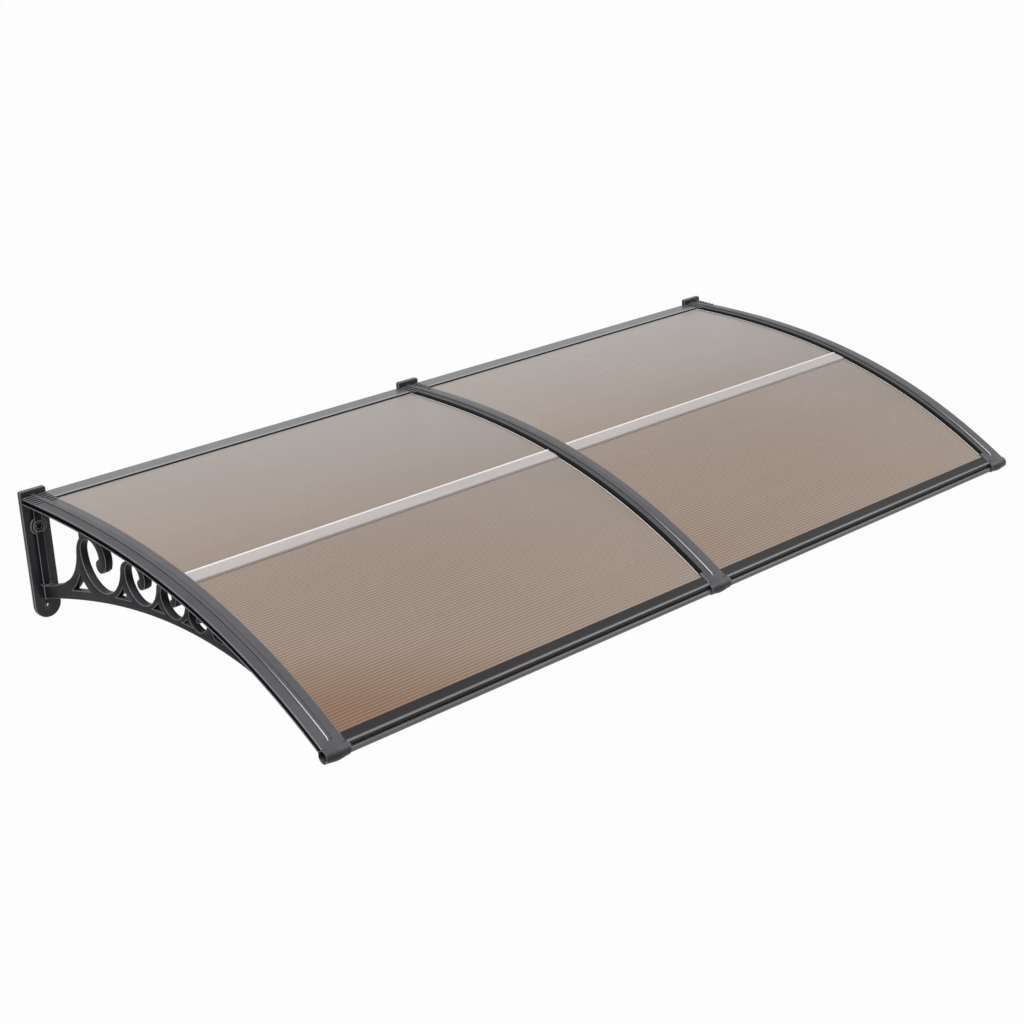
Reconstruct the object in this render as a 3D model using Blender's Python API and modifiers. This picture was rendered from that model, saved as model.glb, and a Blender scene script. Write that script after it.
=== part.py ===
# Door canopy in two bays: three moulded brackets with running scrolls carry twin-wall
# sheets between an aluminium rear bar at the wall and an aluminium front bar.
# X runs along the wall, the wall is the plane y = 0 and the canopy stands out towards -Y.
# "out" is the distance from the wall, and heights are measured up from the mount point
# on the middle bracket's wall face.
import math

import bmesh
import bpy
from mathutils import Matrix

# Overall sizes in metres
OVERALL_WIDTH = 2.000
RAIL_LEVEL = 0.130
RAIL_END_OUT = 0.958
RAIL_EARLY_DROP = 0.0892
RAIL_LATE_DROP = 0.1460

# Wall plate of a bracket
PLATE_WIDTH = 0.058
PLATE_THICK = 0.010
PLATE_TOP = 0.0135
PLATE_ROUND_CENTRE = -0.233
PLATE_WALL = 0.0035
PLATE_CORNER = 0.003
PLATE_RIB_HALF = 0.0045
LOWER_POCKET = (-0.218, -0.082)
UPPER_POCKET_FOOT = -0.045
BOLT_RADIUS = 0.0042
UPPER_BOLT = -0.063
LOWER_BOLT = -0.2355
UPPER_BOSS_RADIUS = 0.014
UPPER_BOSS_PROUD = 0.0075
BOSS_EDGE = 0.001
WASHER_SEAT_RADIUS = 0.0095
WASHER_SEAT_DEPTH = 0.003
LOWER_BOSS_RADIUS = 0.009
LOWER_BOSS_PROUD = 0.0015

# Rail section: flanges, slots for the sheets and the ridge along the middle
RAIL_HALF = 0.026
LOWER_FLANGE_HALF = 0.021
FLANGE_THICK = 0.0032
SLOT_HEIGHT = 0.0056
CORE_HALF = 0.005
RIDGE_HALF = 0.0042
RIDGE_FOOT = 0.0056
RIDGE_HEIGHT = 0.0035
EDGE_CHAMFER = 0.0008
REAR_STATIONS = 7
FRONT_STATIONS = 8
GRIP_RIBS = 5
GRIP_FIRST = 0.024
GRIP_PITCH = 0.0095
GRIP_HEIGHT = 0.0012
GRIP_HALF = 0.0016
GRIP_INSET = 0.0015

# Scroll web under the rail
WEB_THICK = 0.0165
WEB_DEPTH = 0.2085
WEB_STOP = 0.058
WEB_TAPER = 1.2
WEB_SUNK = 0.0010
WEB_STATIONS = 18
SPINE_OUT = 0.0175
ARM_TOP = ((0.0175, -0.1900), (0.0205, -0.1890), (0.0580, -0.1775), (0.0950, -0.1647))
SCROLLS = 4
SCROLL_SHRINK = 0.76
FIRST_SCROLL_OUT = 0.256
SCROLL_STEP = 0.144
SCROLL_HEIGHT = 0.64
EYE_RADIUS = 0.033
LOOP_RADIUS = 0.067
SWEEP_RADIUS = 0.080
FLARE_RADIUS = 0.030
SWEEP_START = 290
SWEEP_END = 350
FLARE_END = 105
ARCH_CENTRE = (0.0705, -0.0651)
ARCH_RADIUS = 0.0984
ARCH_FLARE = 0.055
CURL_CENTRE = (-0.016, 0.003)
CURL_RADIUS = 0.040
BULB_RADIUS = 0.014
LINE_THICK = 0.001
TRIANGLES = 3
TRIANGLE_LIFT = 0.020
TRIANGLE_LEFT = 0.119
TRIANGLE_RIGHT = 0.050
TRIANGLE_PEAK_BACK = 0.0815
TRIANGLE_PEAK_DOWN = 0.0505
TRIANGLE_PEAK_RISE = 0.006
TRIANGLE_HOLLOW = 0.002

# Knuckle and front bar
KNUCKLE_DEPTH = 0.011
KNUCKLE_END_RADIUS = 0.0130
KNUCKLE_MID_RADIUS = 0.0148
SOCKET_RADIUS = 0.0113
TUBE_RADIUS = 0.0110
TUBE_BORE = 0.0088
TUBE_INSERT = 0.014
LIP_REACH = 0.027
LIP_THICK = 0.0018
LIP_NOSE = 0.003
LIP_ROUND = 0.0004
SLOT_BACK = 0.0077
NOSE_START = 104
NOSE_END = -150
CREASE_DEPTH = 0.0012
CREASE_ANGLE = 27
CREASE_HALF = 6
SCREW_OFFSET = 0.0185
SCREW_SHANK = 0.00135
SCREW_HEAD = 0.0031
SCREW_SEAT = 0.0122
SCREW_ROOM = 0.0005
SCREW_POINT = 0.0055
SCREW_POINT_LENGTH = 0.0017
SCREW_HEAD_HEIGHT = 0.0019
DRIVE_HALF_WIDTH = 0.0004
DRIVE_HALF_LENGTH = 0.0018
DRIVE_DEPTH = 0.0010

# How finely curves are drawn
CURVE_SAG = 0.0011
FINE_SAG = 0.0003
BARREL_RINGS = 3
ROUND_SIDES = 24
BOSS_SIDES = 16
BOLT_SIDES = 12
SCREW_SIDES = 8
SMOOTH_ANGLE = math.radians(28)
CUT_PAST = 0.003

# Sheets and the strips around them
SHEET_THICK = 0.0050
FIT = 0.0003
SHEET_INSERT = 0.016
FLUTE_PITCH = 0.0062
SKIN = 0.00045
SHEET_END_ROOM = 0.0015
SHEET_FRONT_ROOM = 0.0078
JOINER_OUT = 0.516
JOINER_HALF = 0.019
JOINER_FLANGE = 0.0018
JOINER_WEB_HALF = 0.0008
JOINER_SPAN = 0.030
REAR_BAR_DEPTH = 0.040
REAR_BAR_HEIGHT = 0.030
REAR_BAR_WALL = 0.0018
REAR_BAR_TOP = -0.0015
REAR_BAR_WEB_OUT = 0.0107
REAR_BAR_LIP_BACK = 0.004
REAR_BAR_NOSE = 0.0008
SEAL_THICK = 0.0012
SEAL_FOOT = -0.028
SEAL_HEAD = -0.003

HALF_WIDTH = OVERALL_WIDTH / 2
PITCH = HALF_WIDTH - PLATE_WIDTH / 2
UNDERSIDE = 2 * FLANGE_THICK + SLOT_HEIGHT
WEB_TOP_DEPTH = UNDERSIDE - WEB_SUNK
WEB_REACH = RAIL_END_OUT - WEB_STOP
SHEET_TOP_DEPTH = FLANGE_THICK + FIT
SHEET_BOTTOM_DEPTH = SHEET_TOP_DEPTH + SHEET_THICK
BAY_HALF_GAP = PITCH / 2 - RAIL_HALF - FIT
PLATE_HALF_GAP = PITCH / 2 - PLATE_WIDTH / 2 - FIT
SHEET_HALF_LENGTH = PITCH / 2 - RAIL_HALF + SHEET_INSERT
REAR_SHEET_START = REAR_BAR_WEB_OUT + REAR_BAR_WALL + SHEET_END_ROOM


def start_clean():
    for item in list(bpy.data.objects):
        bpy.data.objects.remove(item, do_unlink=True)
    groups = []
    for title in ("canopy", "cutters"):
        group = bpy.data.collections.new(title)
        bpy.context.scene.collection.children.link(group)
        groups.append(group)
    return groups


canopy, cutters = start_clean()
wall_point = bpy.data.objects.new("wall_point", None)
canopy.objects.link(wall_point)


def make_material(name, colour, roughness, metallic=0.0, alpha=1.0):
    material = bpy.data.materials.new(name)
    material.use_nodes = True
    shader = material.node_tree.nodes["Principled BSDF"]
    shader.inputs["Base Color"].default_value = (*colour, 1.0)
    shader.inputs["Roughness"].default_value = roughness
    shader.inputs["Metallic"].default_value = metallic
    shader.inputs["Alpha"].default_value = alpha
    material.diffuse_color = (*colour, alpha)
    return material


charcoal = make_material("charcoal_moulded_plastic", (0.045, 0.045, 0.05), 0.5)
bronze = make_material("bronze_twin_wall", (0.30, 0.22, 0.16), 0.25, alpha=0.75)
frosted = make_material("frosted_joiner", (0.75, 0.76, 0.77), 0.3)
grey_metal = make_material("grey_aluminium", (0.16, 0.16, 0.165), 0.35, 0.8)
dark_metal = make_material("dark_aluminium", (0.05, 0.05, 0.052), 0.35, 0.8)
rubber = make_material("black_rubber", (0.02, 0.02, 0.02), 0.8)
steel = make_material("zinc_screw", (0.55, 0.55, 0.56), 0.3, 1.0)


def fall(out):
    """Drop of the rail's top line, gentle at the wall and steeper towards the front."""
    share = out / RAIL_END_OUT
    return -(RAIL_EARLY_DROP * share**2 + RAIL_LATE_DROP * share**3)


def fall_slope(out):
    share = out / RAIL_END_OUT
    return -(2 * RAIL_EARLY_DROP * share + 3 * RAIL_LATE_DROP * share**2) / RAIL_END_OUT


def rail_frame(out):
    """Point on the rail's top line with its forward tangent and upward normal."""
    slope = fall_slope(out)
    length = math.hypot(1.0, slope)
    tangent = (1.0 / length, slope / length)
    normal = (-tangent[1], tangent[0])
    return (out, RAIL_LEVEL + fall(out)), tangent, normal


def below_rail(out, depth, along=0.0):
    """Point at a depth square to the rail's top line, and a distance along its tangent."""
    point, tangent, normal = rail_frame(out)
    return (point[0] - normal[0] * depth + tangent[0] * along,
            point[1] - normal[1] * depth + tangent[1] * along)


def spread(first, last, count):
    return [first + (last - first) * step / (count - 1) for step in range(count)]


def rail_stations():
    """Where the rail's straight facets meet; one facet spans the joiner."""
    rear = spread(PLATE_THICK - 0.003, JOINER_OUT - JOINER_SPAN, REAR_STATIONS)
    return rear + spread(JOINER_OUT + JOINER_SPAN, RAIL_END_OUT - 0.008, FRONT_STATIONS)


def on_facets(out, depth):
    """Point at a depth under the faceted top line, so that sheets and rails stay parallel."""
    stations = rail_stations()
    near = stations[0]
    far = stations[1]
    for first, second in zip(stations, stations[1:]):
        if out >= first:
            near = first
            far = second
    share = (out - near) / (far - near)
    start = below_rail(near, depth)
    end = below_rail(far, depth)
    return (start[0] + (end[0] - start[0]) * share, start[1] + (end[1] - start[1]) * share)


def arc(centre, radius, start, end, size=1.0, sag=CURVE_SAG):
    """Points on an arc between two angles in degrees, as fine as the allowed sag asks."""
    step = math.degrees(2 * math.acos(1 - sag / (radius * size)))
    count = max(2, math.ceil(abs(end - start) / step)) + 1
    return [(centre[0] + radius * math.cos(math.radians(angle)),
             centre[1] + radius * math.sin(math.radians(angle)))
            for angle in spread(start, end, count)]


def add_cutter(name, mesh):
    """Guide or cutting shape that isn't part of the canopy itself."""
    item = bpy.data.objects.new(name, mesh)
    cutters.objects.link(item)
    item.hide_render = True
    item.display_type = "WIRE"
    return item


def add_piece(name, mesh, material, place):
    """Finished piece, hung on the wall point and shaded smooth over its round stretches."""
    if not mesh.materials:
        mesh.materials.append(material)
        mesh.shade_smooth()
        mesh.set_sharp_from_angle(angle=SMOOTH_ANGLE)
    item = bpy.data.objects.new(name, mesh)
    canopy.objects.link(item)
    item.parent = wall_point
    item.location = place
    return item


def finish_mesh(mesh, matrix=None):
    shape = bmesh.new()
    shape.from_mesh(mesh)
    if matrix is not None:
        bmesh.ops.transform(shape, matrix=matrix, verts=shape.verts)
    bmesh.ops.remove_doubles(shape, verts=shape.verts, dist=0.000005)
    bmesh.ops.recalc_face_normals(shape, faces=shape.faces)
    if shape.calc_volume(signed=True) < 0:
        bmesh.ops.reverse_faces(shape, faces=shape.faces)
    shape.to_mesh(mesh)
    shape.free()
    return mesh


# Flat outlines seen from the side (out, height) or from the front (x, height)
SIDE_VIEW = Matrix(((0, 0, 1, 0), (-1, 0, 0, 0), (0, 1, 0, 0), (0, 0, 0, 1)))
FRONT_VIEW = Matrix(((1, 0, 0, 0), (0, 0, -1, 0), (0, 1, 0, 0), (0, 0, 0, 1)))

# Turns that lay a round shape's own Z away from the wall, along it, or straight down
OUTWARD = Matrix.Rotation(math.radians(90), 4, "X")
ALONG_WALL = Matrix.Rotation(math.radians(90), 4, "Y")
DOWNWARD = Matrix.Rotation(math.radians(180), 4, "X")


def extrude_outline(name, outlines, length, view=SIDE_VIEW):
    """Flat outline with any holes, extruded to both sides of its plane."""
    curve = bpy.data.curves.new(name, "CURVE")
    curve.dimensions = "2D"
    curve.fill_mode = "BOTH"
    curve.extrude = length / 2
    for outline in outlines:
        spline = curve.splines.new("POLY")
        spline.points.add(len(outline) - 1)
        for point, place in zip(spline.points, outline):
            point.co = (place[0], place[1], 0.0, 1.0)
        spline.use_cyclic_u = True
    holder = bpy.data.objects.new(name, curve)
    cutters.objects.link(holder)
    graph = bpy.context.evaluated_depsgraph_get()
    mesh = bpy.data.meshes.new_from_object(holder.evaluated_get(graph))
    bpy.data.objects.remove(holder, do_unlink=True)
    bpy.data.curves.remove(curve)
    mesh.materials.clear()
    return finish_mesh(mesh, view)


def new_mesh(name, shape, matrix):
    mesh = bpy.data.meshes.new(name)
    shape.to_mesh(mesh)
    shape.free()
    return finish_mesh(mesh, matrix)


def turned(name, profile, segments, matrix):
    """Profile of (height, radius) from the axis out and back to it, turned about its own Z."""
    mesh = bpy.data.meshes.new(name)
    points = [(radius, 0.0, height) for height, radius in profile]
    mesh.from_pydata(points, [(step, step + 1) for step in range(len(points) - 1)], [])
    holder = add_cutter(name, mesh)
    screw = holder.modifiers.new("turned", "SCREW")
    screw.steps = segments
    screw.render_steps = segments
    screw.use_merge_vertices = True
    screw.merge_threshold = 0.00001
    graph = bpy.context.evaluated_depsgraph_get()
    solid = bpy.data.meshes.new_from_object(holder.evaluated_get(graph))
    bpy.data.objects.remove(holder, do_unlink=True)
    return finish_mesh(solid, matrix)


def cylinder(name, radius, first, last, segments, matrix):
    """Round bar or hole from one height to another on its own Z."""
    shape = bmesh.new()
    place = Matrix.Translation((0, 0, (first + last) / 2))
    bmesh.ops.create_cone(shape, cap_ends=True, segments=segments, radius1=radius, radius2=radius,
                          depth=last - first, matrix=place)
    return new_mesh(name, shape, matrix)


def box(name, x_range, out_range, z_range):
    """Box between two distances along the wall, out from it and up."""
    spans = (x_range, (-out_range[1], -out_range[0]), z_range)
    centre = [(low + high) / 2 for low, high in spans]
    size = [high - low for low, high in spans]
    shape = bmesh.new()
    bmesh.ops.create_cube(shape, size=1.0, matrix=Matrix.Translation(centre) @ Matrix.Diagonal((*size, 1.0)))
    return new_mesh(name, shape, Matrix.Identity(4))


def combine(target, tool_meshes, operation, title, solver="EXACT"):
    """Booleans of the target with each tool in turn, kept as one clean mesh."""
    for number, mesh in enumerate(tool_meshes):
        tool = add_cutter(f"{title}_{number + 1}", mesh)
        modifier = target.modifiers.new(tool.name, "BOOLEAN")
        modifier.operation = operation
        modifier.solver = solver
        modifier.object = tool
    graph = bpy.context.evaluated_depsgraph_get()
    mesh = bpy.data.meshes.new_from_object(target.evaluated_get(graph))
    target.modifiers.clear()
    target.data = finish_mesh(mesh)
    return target


def rail_section():
    """Half of the rail's section as (x, depth), from the ridge round to the web."""
    floor = UNDERSIDE - FLANGE_THICK
    return [(RIDGE_HALF, -RIDGE_HEIGHT), (RIDGE_FOOT, 0.0), (RAIL_HALF - EDGE_CHAMFER, 0.0),
            (RAIL_HALF, EDGE_CHAMFER), (RAIL_HALF, FLANGE_THICK), (CORE_HALF, FLANGE_THICK),
            (CORE_HALF, floor), (LOWER_FLANGE_HALF, floor), (LOWER_FLANGE_HALF, UNDERSIDE)]


def make_rail():
    """Rail section swept along the top line as a curve with its own profile."""
    right = rail_section()
    section = bpy.data.curves.new("rail_section", "CURVE")
    section.dimensions = "2D"
    outline = section.splines.new("POLY")
    corners = right + [(-x, depth) for x, depth in reversed(right)]
    outline.points.add(len(corners) - 1)
    for point, (x, depth) in zip(outline.points, corners):
        point.co = (x, -depth, 0.0, 1.0)
    outline.use_cyclic_u = True
    profile = add_cutter("rail_section", section)
    path = bpy.data.curves.new("rail", "CURVE")
    path.dimensions = "3D"
    path.twist_mode = "Z_UP"
    path.bevel_mode = "OBJECT"
    path.bevel_object = profile
    path.use_fill_caps = True
    line = path.splines.new("POLY")
    stations = rail_stations()
    line.points.add(len(stations) - 1)
    for point, out in zip(line.points, stations):
        point.co = (0.0, -out, RAIL_LEVEL + fall(out), 1.0)
    holder = add_cutter("rail", path)
    graph = bpy.context.evaluated_depsgraph_get()
    mesh = bpy.data.meshes.new_from_object(holder.evaluated_get(graph))
    bpy.data.objects.remove(holder, do_unlink=True)
    bpy.data.objects.remove(profile, do_unlink=True)
    return finish_mesh(mesh)


def straight_below(out, depth):
    """Height at a distance from the wall, for a depth square to the rail's top line."""
    _, tangent, _ = rail_frame(out)
    return RAIL_LEVEL + fall(out) - depth / tangent[0]


def web_bottom(out):
    depth = WEB_DEPTH * max(0.0, 1.0 - out / WEB_REACH) ** WEB_TAPER
    return straight_below(out, UNDERSIDE + WEB_SUNK) - depth


def scroll_places():
    """Centre and size of each scroll, shrinking in step towards the front."""
    out = FIRST_SCROLL_OUT
    size = 1.0
    places = []
    for _ in range(SCROLLS):
        top = straight_below(out, UNDERSIDE)
        height = web_bottom(out) + SCROLL_HEIGHT * (top - web_bottom(out))
        places.append((out, height, size))
        out += SCROLL_STEP * size
        size *= SCROLL_SHRINK
    return places


def on_circle(centre, radius, angle):
    turn = math.radians(angle)
    return (centre[0] + radius * math.cos(turn), centre[1] + radius * math.sin(turn))


def sweep_and_flare(size):
    """Front side of a loop in scroll units: a wide sweep that turns into the next stem."""
    shift = LOOP_RADIUS - SWEEP_RADIUS
    centre = on_circle((0.0, 0.0), shift, SWEEP_START)
    sweep = arc(centre, SWEEP_RADIUS, SWEEP_START, SWEEP_END, size)
    flare_centre = on_circle(centre, SWEEP_RADIUS + FLARE_RADIUS, SWEEP_END)
    return sweep, arc(flare_centre, FLARE_RADIUS, SWEEP_END - 180, FLARE_END, size)[1:]


def placed(points, place):
    out, height, size = place
    return [(out + x * size, height + z * size) for x, z in points]


def scroll_opening(place):
    """Opening under one scroll: the round eye, the bulb of the curl and the wide loop."""
    size = place[2]
    eye = arc((-EYE_RADIUS - LINE_THICK, 0.0), EYE_RADIUS, 180, 4, size)
    bulb = arc((0.0, -BULB_RADIUS), BULB_RADIUS, 110, 320, size, CURVE_SAG / 2)
    curl = arc(CURL_CENTRE, CURL_RADIUS, -34, 58, size)
    sweep, flare = sweep_and_flare(size)
    above = LOOP_RADIUS + BULB_RADIUS
    top = [(curl[-1][0], above), (flare[-1][0], above)]
    loop = arc((0.0, 0.0), LOOP_RADIUS, SWEEP_START, 187, size)[1:]
    return placed(eye + bulb + curl + top + flare[::-1] + sweep[::-1] + loop, place)


def first_opening():
    """Opening between the wall plate's spine, the arm and the first stem."""
    sweep = arc(ARCH_CENTRE, ARCH_RADIUS, 303, 352)
    flare_centre = on_circle(ARCH_CENTRE, ARCH_RADIUS + ARCH_FLARE, 352)
    flare = arc(flare_centre, ARCH_FLARE, 172, 132)[1:]
    top = [(flare[-1][0], WEB_TOP_DEPTH), (SPINE_OUT, WEB_TOP_DEPTH)]
    return [(out, RAIL_LEVEL + z) for out, z in list(ARM_TOP) + sweep + flare + top]


def triangle_opening(number, place):
    """Three-cornered opening at the foot of a stem, over the arm's lower edge."""
    out, height, size = place
    lift = TRIANGLE_LIFT * math.sqrt(size)
    left = out - TRIANGLE_LEFT * size
    right = out - TRIANGLE_RIGHT * size
    peak = (out - TRIANGLE_PEAK_BACK * size,
            height - (TRIANGLE_PEAK_DOWN - TRIANGLE_PEAK_RISE * number) * size)
    hollow = TRIANGLE_HOLLOW * size
    foot_left = (left, web_bottom(left) + lift)
    foot_right = (right, web_bottom(right) + lift)
    side_left = ((left + peak[0]) / 2 + hollow, (foot_left[1] + peak[1]) / 2 - hollow)
    side_right = ((right + peak[0]) / 2 - hollow, (foot_right[1] + peak[1]) / 2 - hollow)
    return [foot_left, foot_right, side_right, peak, side_left]


def make_web():
    start = PLATE_THICK - PLATE_WALL
    top = [on_facets(start, WEB_TOP_DEPTH)]
    top += [below_rail(out, WEB_TOP_DEPTH) for out in rail_stations()[1:-1]]
    bottom = [(out, web_bottom(out)) for out in spread(WEB_REACH, start, WEB_STATIONS)]
    web = add_cutter("web_blank", extrude_outline("web_blank", [top + bottom], WEB_THICK))
    places = scroll_places()
    tools = [extrude_outline("first_opening", [first_opening()], WEB_THICK * 2)]
    for place in places:
        tools.append(extrude_outline("scroll_opening", [scroll_opening(place)], WEB_THICK * 2))
    for number in range(TRIANGLES):
        outline = triangle_opening(number, places[number])
        tools.append(extrude_outline("triangle_opening", [outline], WEB_THICK * 2))
    return combine(web, tools, "DIFFERENCE", "web_opening")


def plate_outline():
    half = PLATE_WIDTH / 2
    top = RAIL_LEVEL + PLATE_TOP
    round_centre = RAIL_LEVEL + PLATE_ROUND_CENTRE
    corner = PLATE_CORNER
    return (arc((half - corner, top - corner), corner, 0, 90)
            + arc((-half + corner, top - corner), corner, 90, 180)
            + arc((0.0, round_centre), half, 180, 360, sag=FINE_SAG))


def plate_cutters():
    """Pockets behind the wall plate, either side of a middle rib and clear of the bolt bosses."""
    depth = PLATE_THICK - PLATE_WALL
    pockets = []
    for side in (-1, 1):
        x_range = sorted((side * PLATE_RIB_HALF, side * (PLATE_WIDTH / 2 - PLATE_WALL)))
        for z_range in (LOWER_POCKET, (UPPER_POCKET_FOOT, PLATE_TOP - PLATE_WALL)):
            heights = [RAIL_LEVEL + z for z in z_range]
            pockets.append(box("plate_pocket", x_range, (-CUT_PAST, depth), heights))
    for height in (UPPER_BOLT, LOWER_BOLT):
        place = Matrix.Translation((0.0, 0.0, RAIL_LEVEL + height)) @ OUTWARD
        pockets.append(cylinder("bolt_hole", BOLT_RADIUS, -CUT_PAST, PLATE_THICK * 3, BOLT_SIDES, place))
    place = Matrix.Translation((0.0, 0.0, RAIL_LEVEL + UPPER_BOLT)) @ OUTWARD
    seat = PLATE_THICK + UPPER_BOSS_PROUD
    pockets.append(cylinder("washer_seat", WASHER_SEAT_RADIUS, seat - WASHER_SEAT_DEPTH, seat + CUT_PAST,
                            BOSS_SIDES, place))
    return pockets


def knuckle_place():
    out, height = below_rail(RAIL_END_OUT, KNUCKLE_DEPTH)
    return Matrix.Translation((0.0, -out, height))


def barrel(name, clearance, past):
    """Barrel across the rail's front end, a little fuller in its middle."""
    swell = KNUCKLE_MID_RADIUS - KNUCKLE_END_RADIUS
    ends = RAIL_HALF + past
    profile = [(ends, 0.0)]
    for x in spread(ends, -ends, BARREL_RINGS):
        profile.append((x, KNUCKLE_END_RADIUS + clearance + swell * (1 - (x / ends) ** 2)))
    profile.append((-ends, 0.0))
    return turned(name, profile, ROUND_SIDES, ALONG_WALL)


def knuckle_mesh():
    """Barrel with the socket for the bar's tube, and the two screws' holes with their seats."""
    knuckle = add_cutter("knuckle", barrel("knuckle", 0.0, 0.0))
    reach = RAIL_HALF + CUT_PAST
    holes = [cylinder("socket", SOCKET_RADIUS, -reach, reach, ROUND_SIDES, ALONG_WALL)]
    for side in (-1, 1):
        place = Matrix.Translation((side * SCREW_OFFSET, 0.0, 0.0)) @ DOWNWARD
        past = KNUCKLE_MID_RADIUS + CUT_PAST
        for radius, first in ((SCREW_SHANK + SCREW_ROOM, SCREW_POINT), (SCREW_HEAD + SCREW_ROOM, SCREW_SEAT)):
            holes.append(cylinder("screw_hole", radius, first, past, SCREW_SIDES, place))
    return combine(knuckle, holes, "DIFFERENCE", "knuckle_cut").data


def make_grip_ribs():
    """Short cross ribs on both flanges next to the wall plate."""
    ribs = []
    for side in (-1, 1):
        inner = side * (RIDGE_FOOT + GRIP_INSET)
        outer = side * (RAIL_HALF - GRIP_INSET)
        for number in range(GRIP_RIBS):
            out = GRIP_FIRST + number * GRIP_PITCH
            foot = RAIL_LEVEL + fall(out)
            ribs.append(box("grip_rib", sorted((inner, outer)), (out - GRIP_HALF, out + GRIP_HALF),
                            (foot - GRIP_INSET, foot + GRIP_HEIGHT)))
    return ribs


def make_bosses():
    """Round seats on the wall plate's front for the two wall bolts."""
    bosses = []
    for height, radius, proud in ((UPPER_BOLT, UPPER_BOSS_RADIUS, UPPER_BOSS_PROUD),
                                  (LOWER_BOLT, LOWER_BOSS_RADIUS, LOWER_BOSS_PROUD)):
        top = PLATE_THICK + proud
        profile = [(top, 0.0), (top, radius - BOSS_EDGE), (top - BOSS_EDGE, radius),
                   (PLATE_THICK / 2, radius), (PLATE_THICK / 2, 0.0)]
        place = Matrix.Translation((0.0, 0.0, RAIL_LEVEL + height)) @ OUTWARD
        bosses.append(turned("bolt_boss", profile, BOSS_SIDES, place))
    return bosses


def make_bracket_mesh():
    plate = extrude_outline("wall_plate", [plate_outline()], PLATE_THICK, FRONT_VIEW)
    plate.transform(Matrix.Translation((0, -PLATE_THICK / 2, 0)))
    body = add_cutter("bracket_body", plate)
    parts = [make_rail(), make_web().data] + make_bosses() + make_grip_ribs()
    combine(body, parts, "UNION", "bracket_part", "MANIFOLD")
    hollow = barrel("knuckle_seat", FIT, CUT_PAST)
    hollow.transform(knuckle_place())
    combine(body, plate_cutters() + [hollow], "DIFFERENCE", "bracket_cut", "MANIFOLD")
    return body.data


def sheet_mesh(name, first, last):
    """Curved twin-wall sheet whose flutes run the length of the bay."""
    stations = [first] + [out for out in rail_stations() if first + 0.002 < out < last - 0.002] + [last]
    upper = [on_facets(out, SHEET_TOP_DEPTH) for out in stations]
    outer = upper + [on_facets(out, SHEET_BOTTOM_DEPTH) for out in reversed(stations)]
    length = sum(math.dist(a, b) for a, b in zip(upper, upper[1:]))
    count = round(length / FLUTE_PITCH)
    cells = []
    for number in range(count):
        near = first + (last - first) * (number + 0.04) / count
        far = first + (last - first) * (number + 0.96) / count
        cells.append([on_facets(near, SHEET_TOP_DEPTH + SKIN), on_facets(far, SHEET_TOP_DEPTH + SKIN),
                      on_facets(far, SHEET_BOTTOM_DEPTH - SKIN), on_facets(near, SHEET_BOTTOM_DEPTH - SKIN)])
    return extrude_outline(name, [outer] + cells, 2 * SHEET_HALF_LENGTH)


def in_tangent_frame(out, points):
    """Points of (along the tangent, depth) placed at a station of the rail."""
    return [below_rail(out, depth, along) for along, depth in points]


def joiner_mesh():
    top = FLANGE_THICK
    low = SHEET_BOTTOM_DEPTH + FIT
    half = JOINER_HALF
    web = JOINER_WEB_HALF
    profile = [(-half, top - JOINER_FLANGE + 0.0006), (-half + 0.004, top - JOINER_FLANGE),
               (half - 0.004, top - JOINER_FLANGE), (half, top - JOINER_FLANGE + 0.0006), (half, top),
               (web, top), (web, low), (half, low), (half, low + JOINER_FLANGE),
               (-half, low + JOINER_FLANGE), (-half, low), (-web, low), (-web, top), (-half, top)]
    outline = [on_facets(JOINER_OUT + along * rail_frame(JOINER_OUT)[1][0], depth) for along, depth in profile]
    return extrude_outline("joiner", [outline], 2 * BAY_HALF_GAP)


def rear_bar_mesh():
    wall = REAR_BAR_WALL
    back = SEAL_THICK + FIT
    slot_top = REAR_BAR_TOP - wall
    slot_low = -SHEET_BOTTOM_DEPTH - 2 * FIT
    web = REAR_BAR_WEB_OUT
    front = REAR_BAR_DEPTH
    lip = front - REAR_BAR_LIP_BACK
    profile = [(back, REAR_BAR_TOP), (lip, REAR_BAR_TOP), (front, REAR_BAR_TOP - REAR_BAR_NOSE),
               (front, slot_top), (web + wall, slot_top), (web + wall, slot_low), (lip, slot_low),
               (lip, slot_low - wall), (web, slot_low - wall), (web, slot_top),
               (back + wall, slot_top), (back + wall, -REAR_BAR_HEIGHT), (back, -REAR_BAR_HEIGHT)]
    outline = [(out, RAIL_LEVEL + z) for out, z in profile]
    bar = add_cutter("rear_bar", extrude_outline("rear_bar", [outline], 2 * BAY_HALF_GAP))
    notches = []
    for side in (-1, 1):
        x_range = sorted((side * PLATE_HALF_GAP, side * (BAY_HALF_GAP + CUT_PAST)))
        heights = (RAIL_LEVEL - REAR_BAR_HEIGHT - CUT_PAST, RAIL_LEVEL + CUT_PAST)
        notches.append(box("plate_notch", x_range, (-CUT_PAST, PLATE_THICK + FIT), heights))
    return combine(bar, notches, "DIFFERENCE", "bar_notch", "MANIFOLD").data


def front_slot():
    """Where the front bar's lips begin and its slot for the sheet ends."""
    reach = LIP_REACH * rail_frame(RAIL_END_OUT)[1][0]
    return RAIL_END_OUT - reach, RAIL_END_OUT - SLOT_BACK


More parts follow.
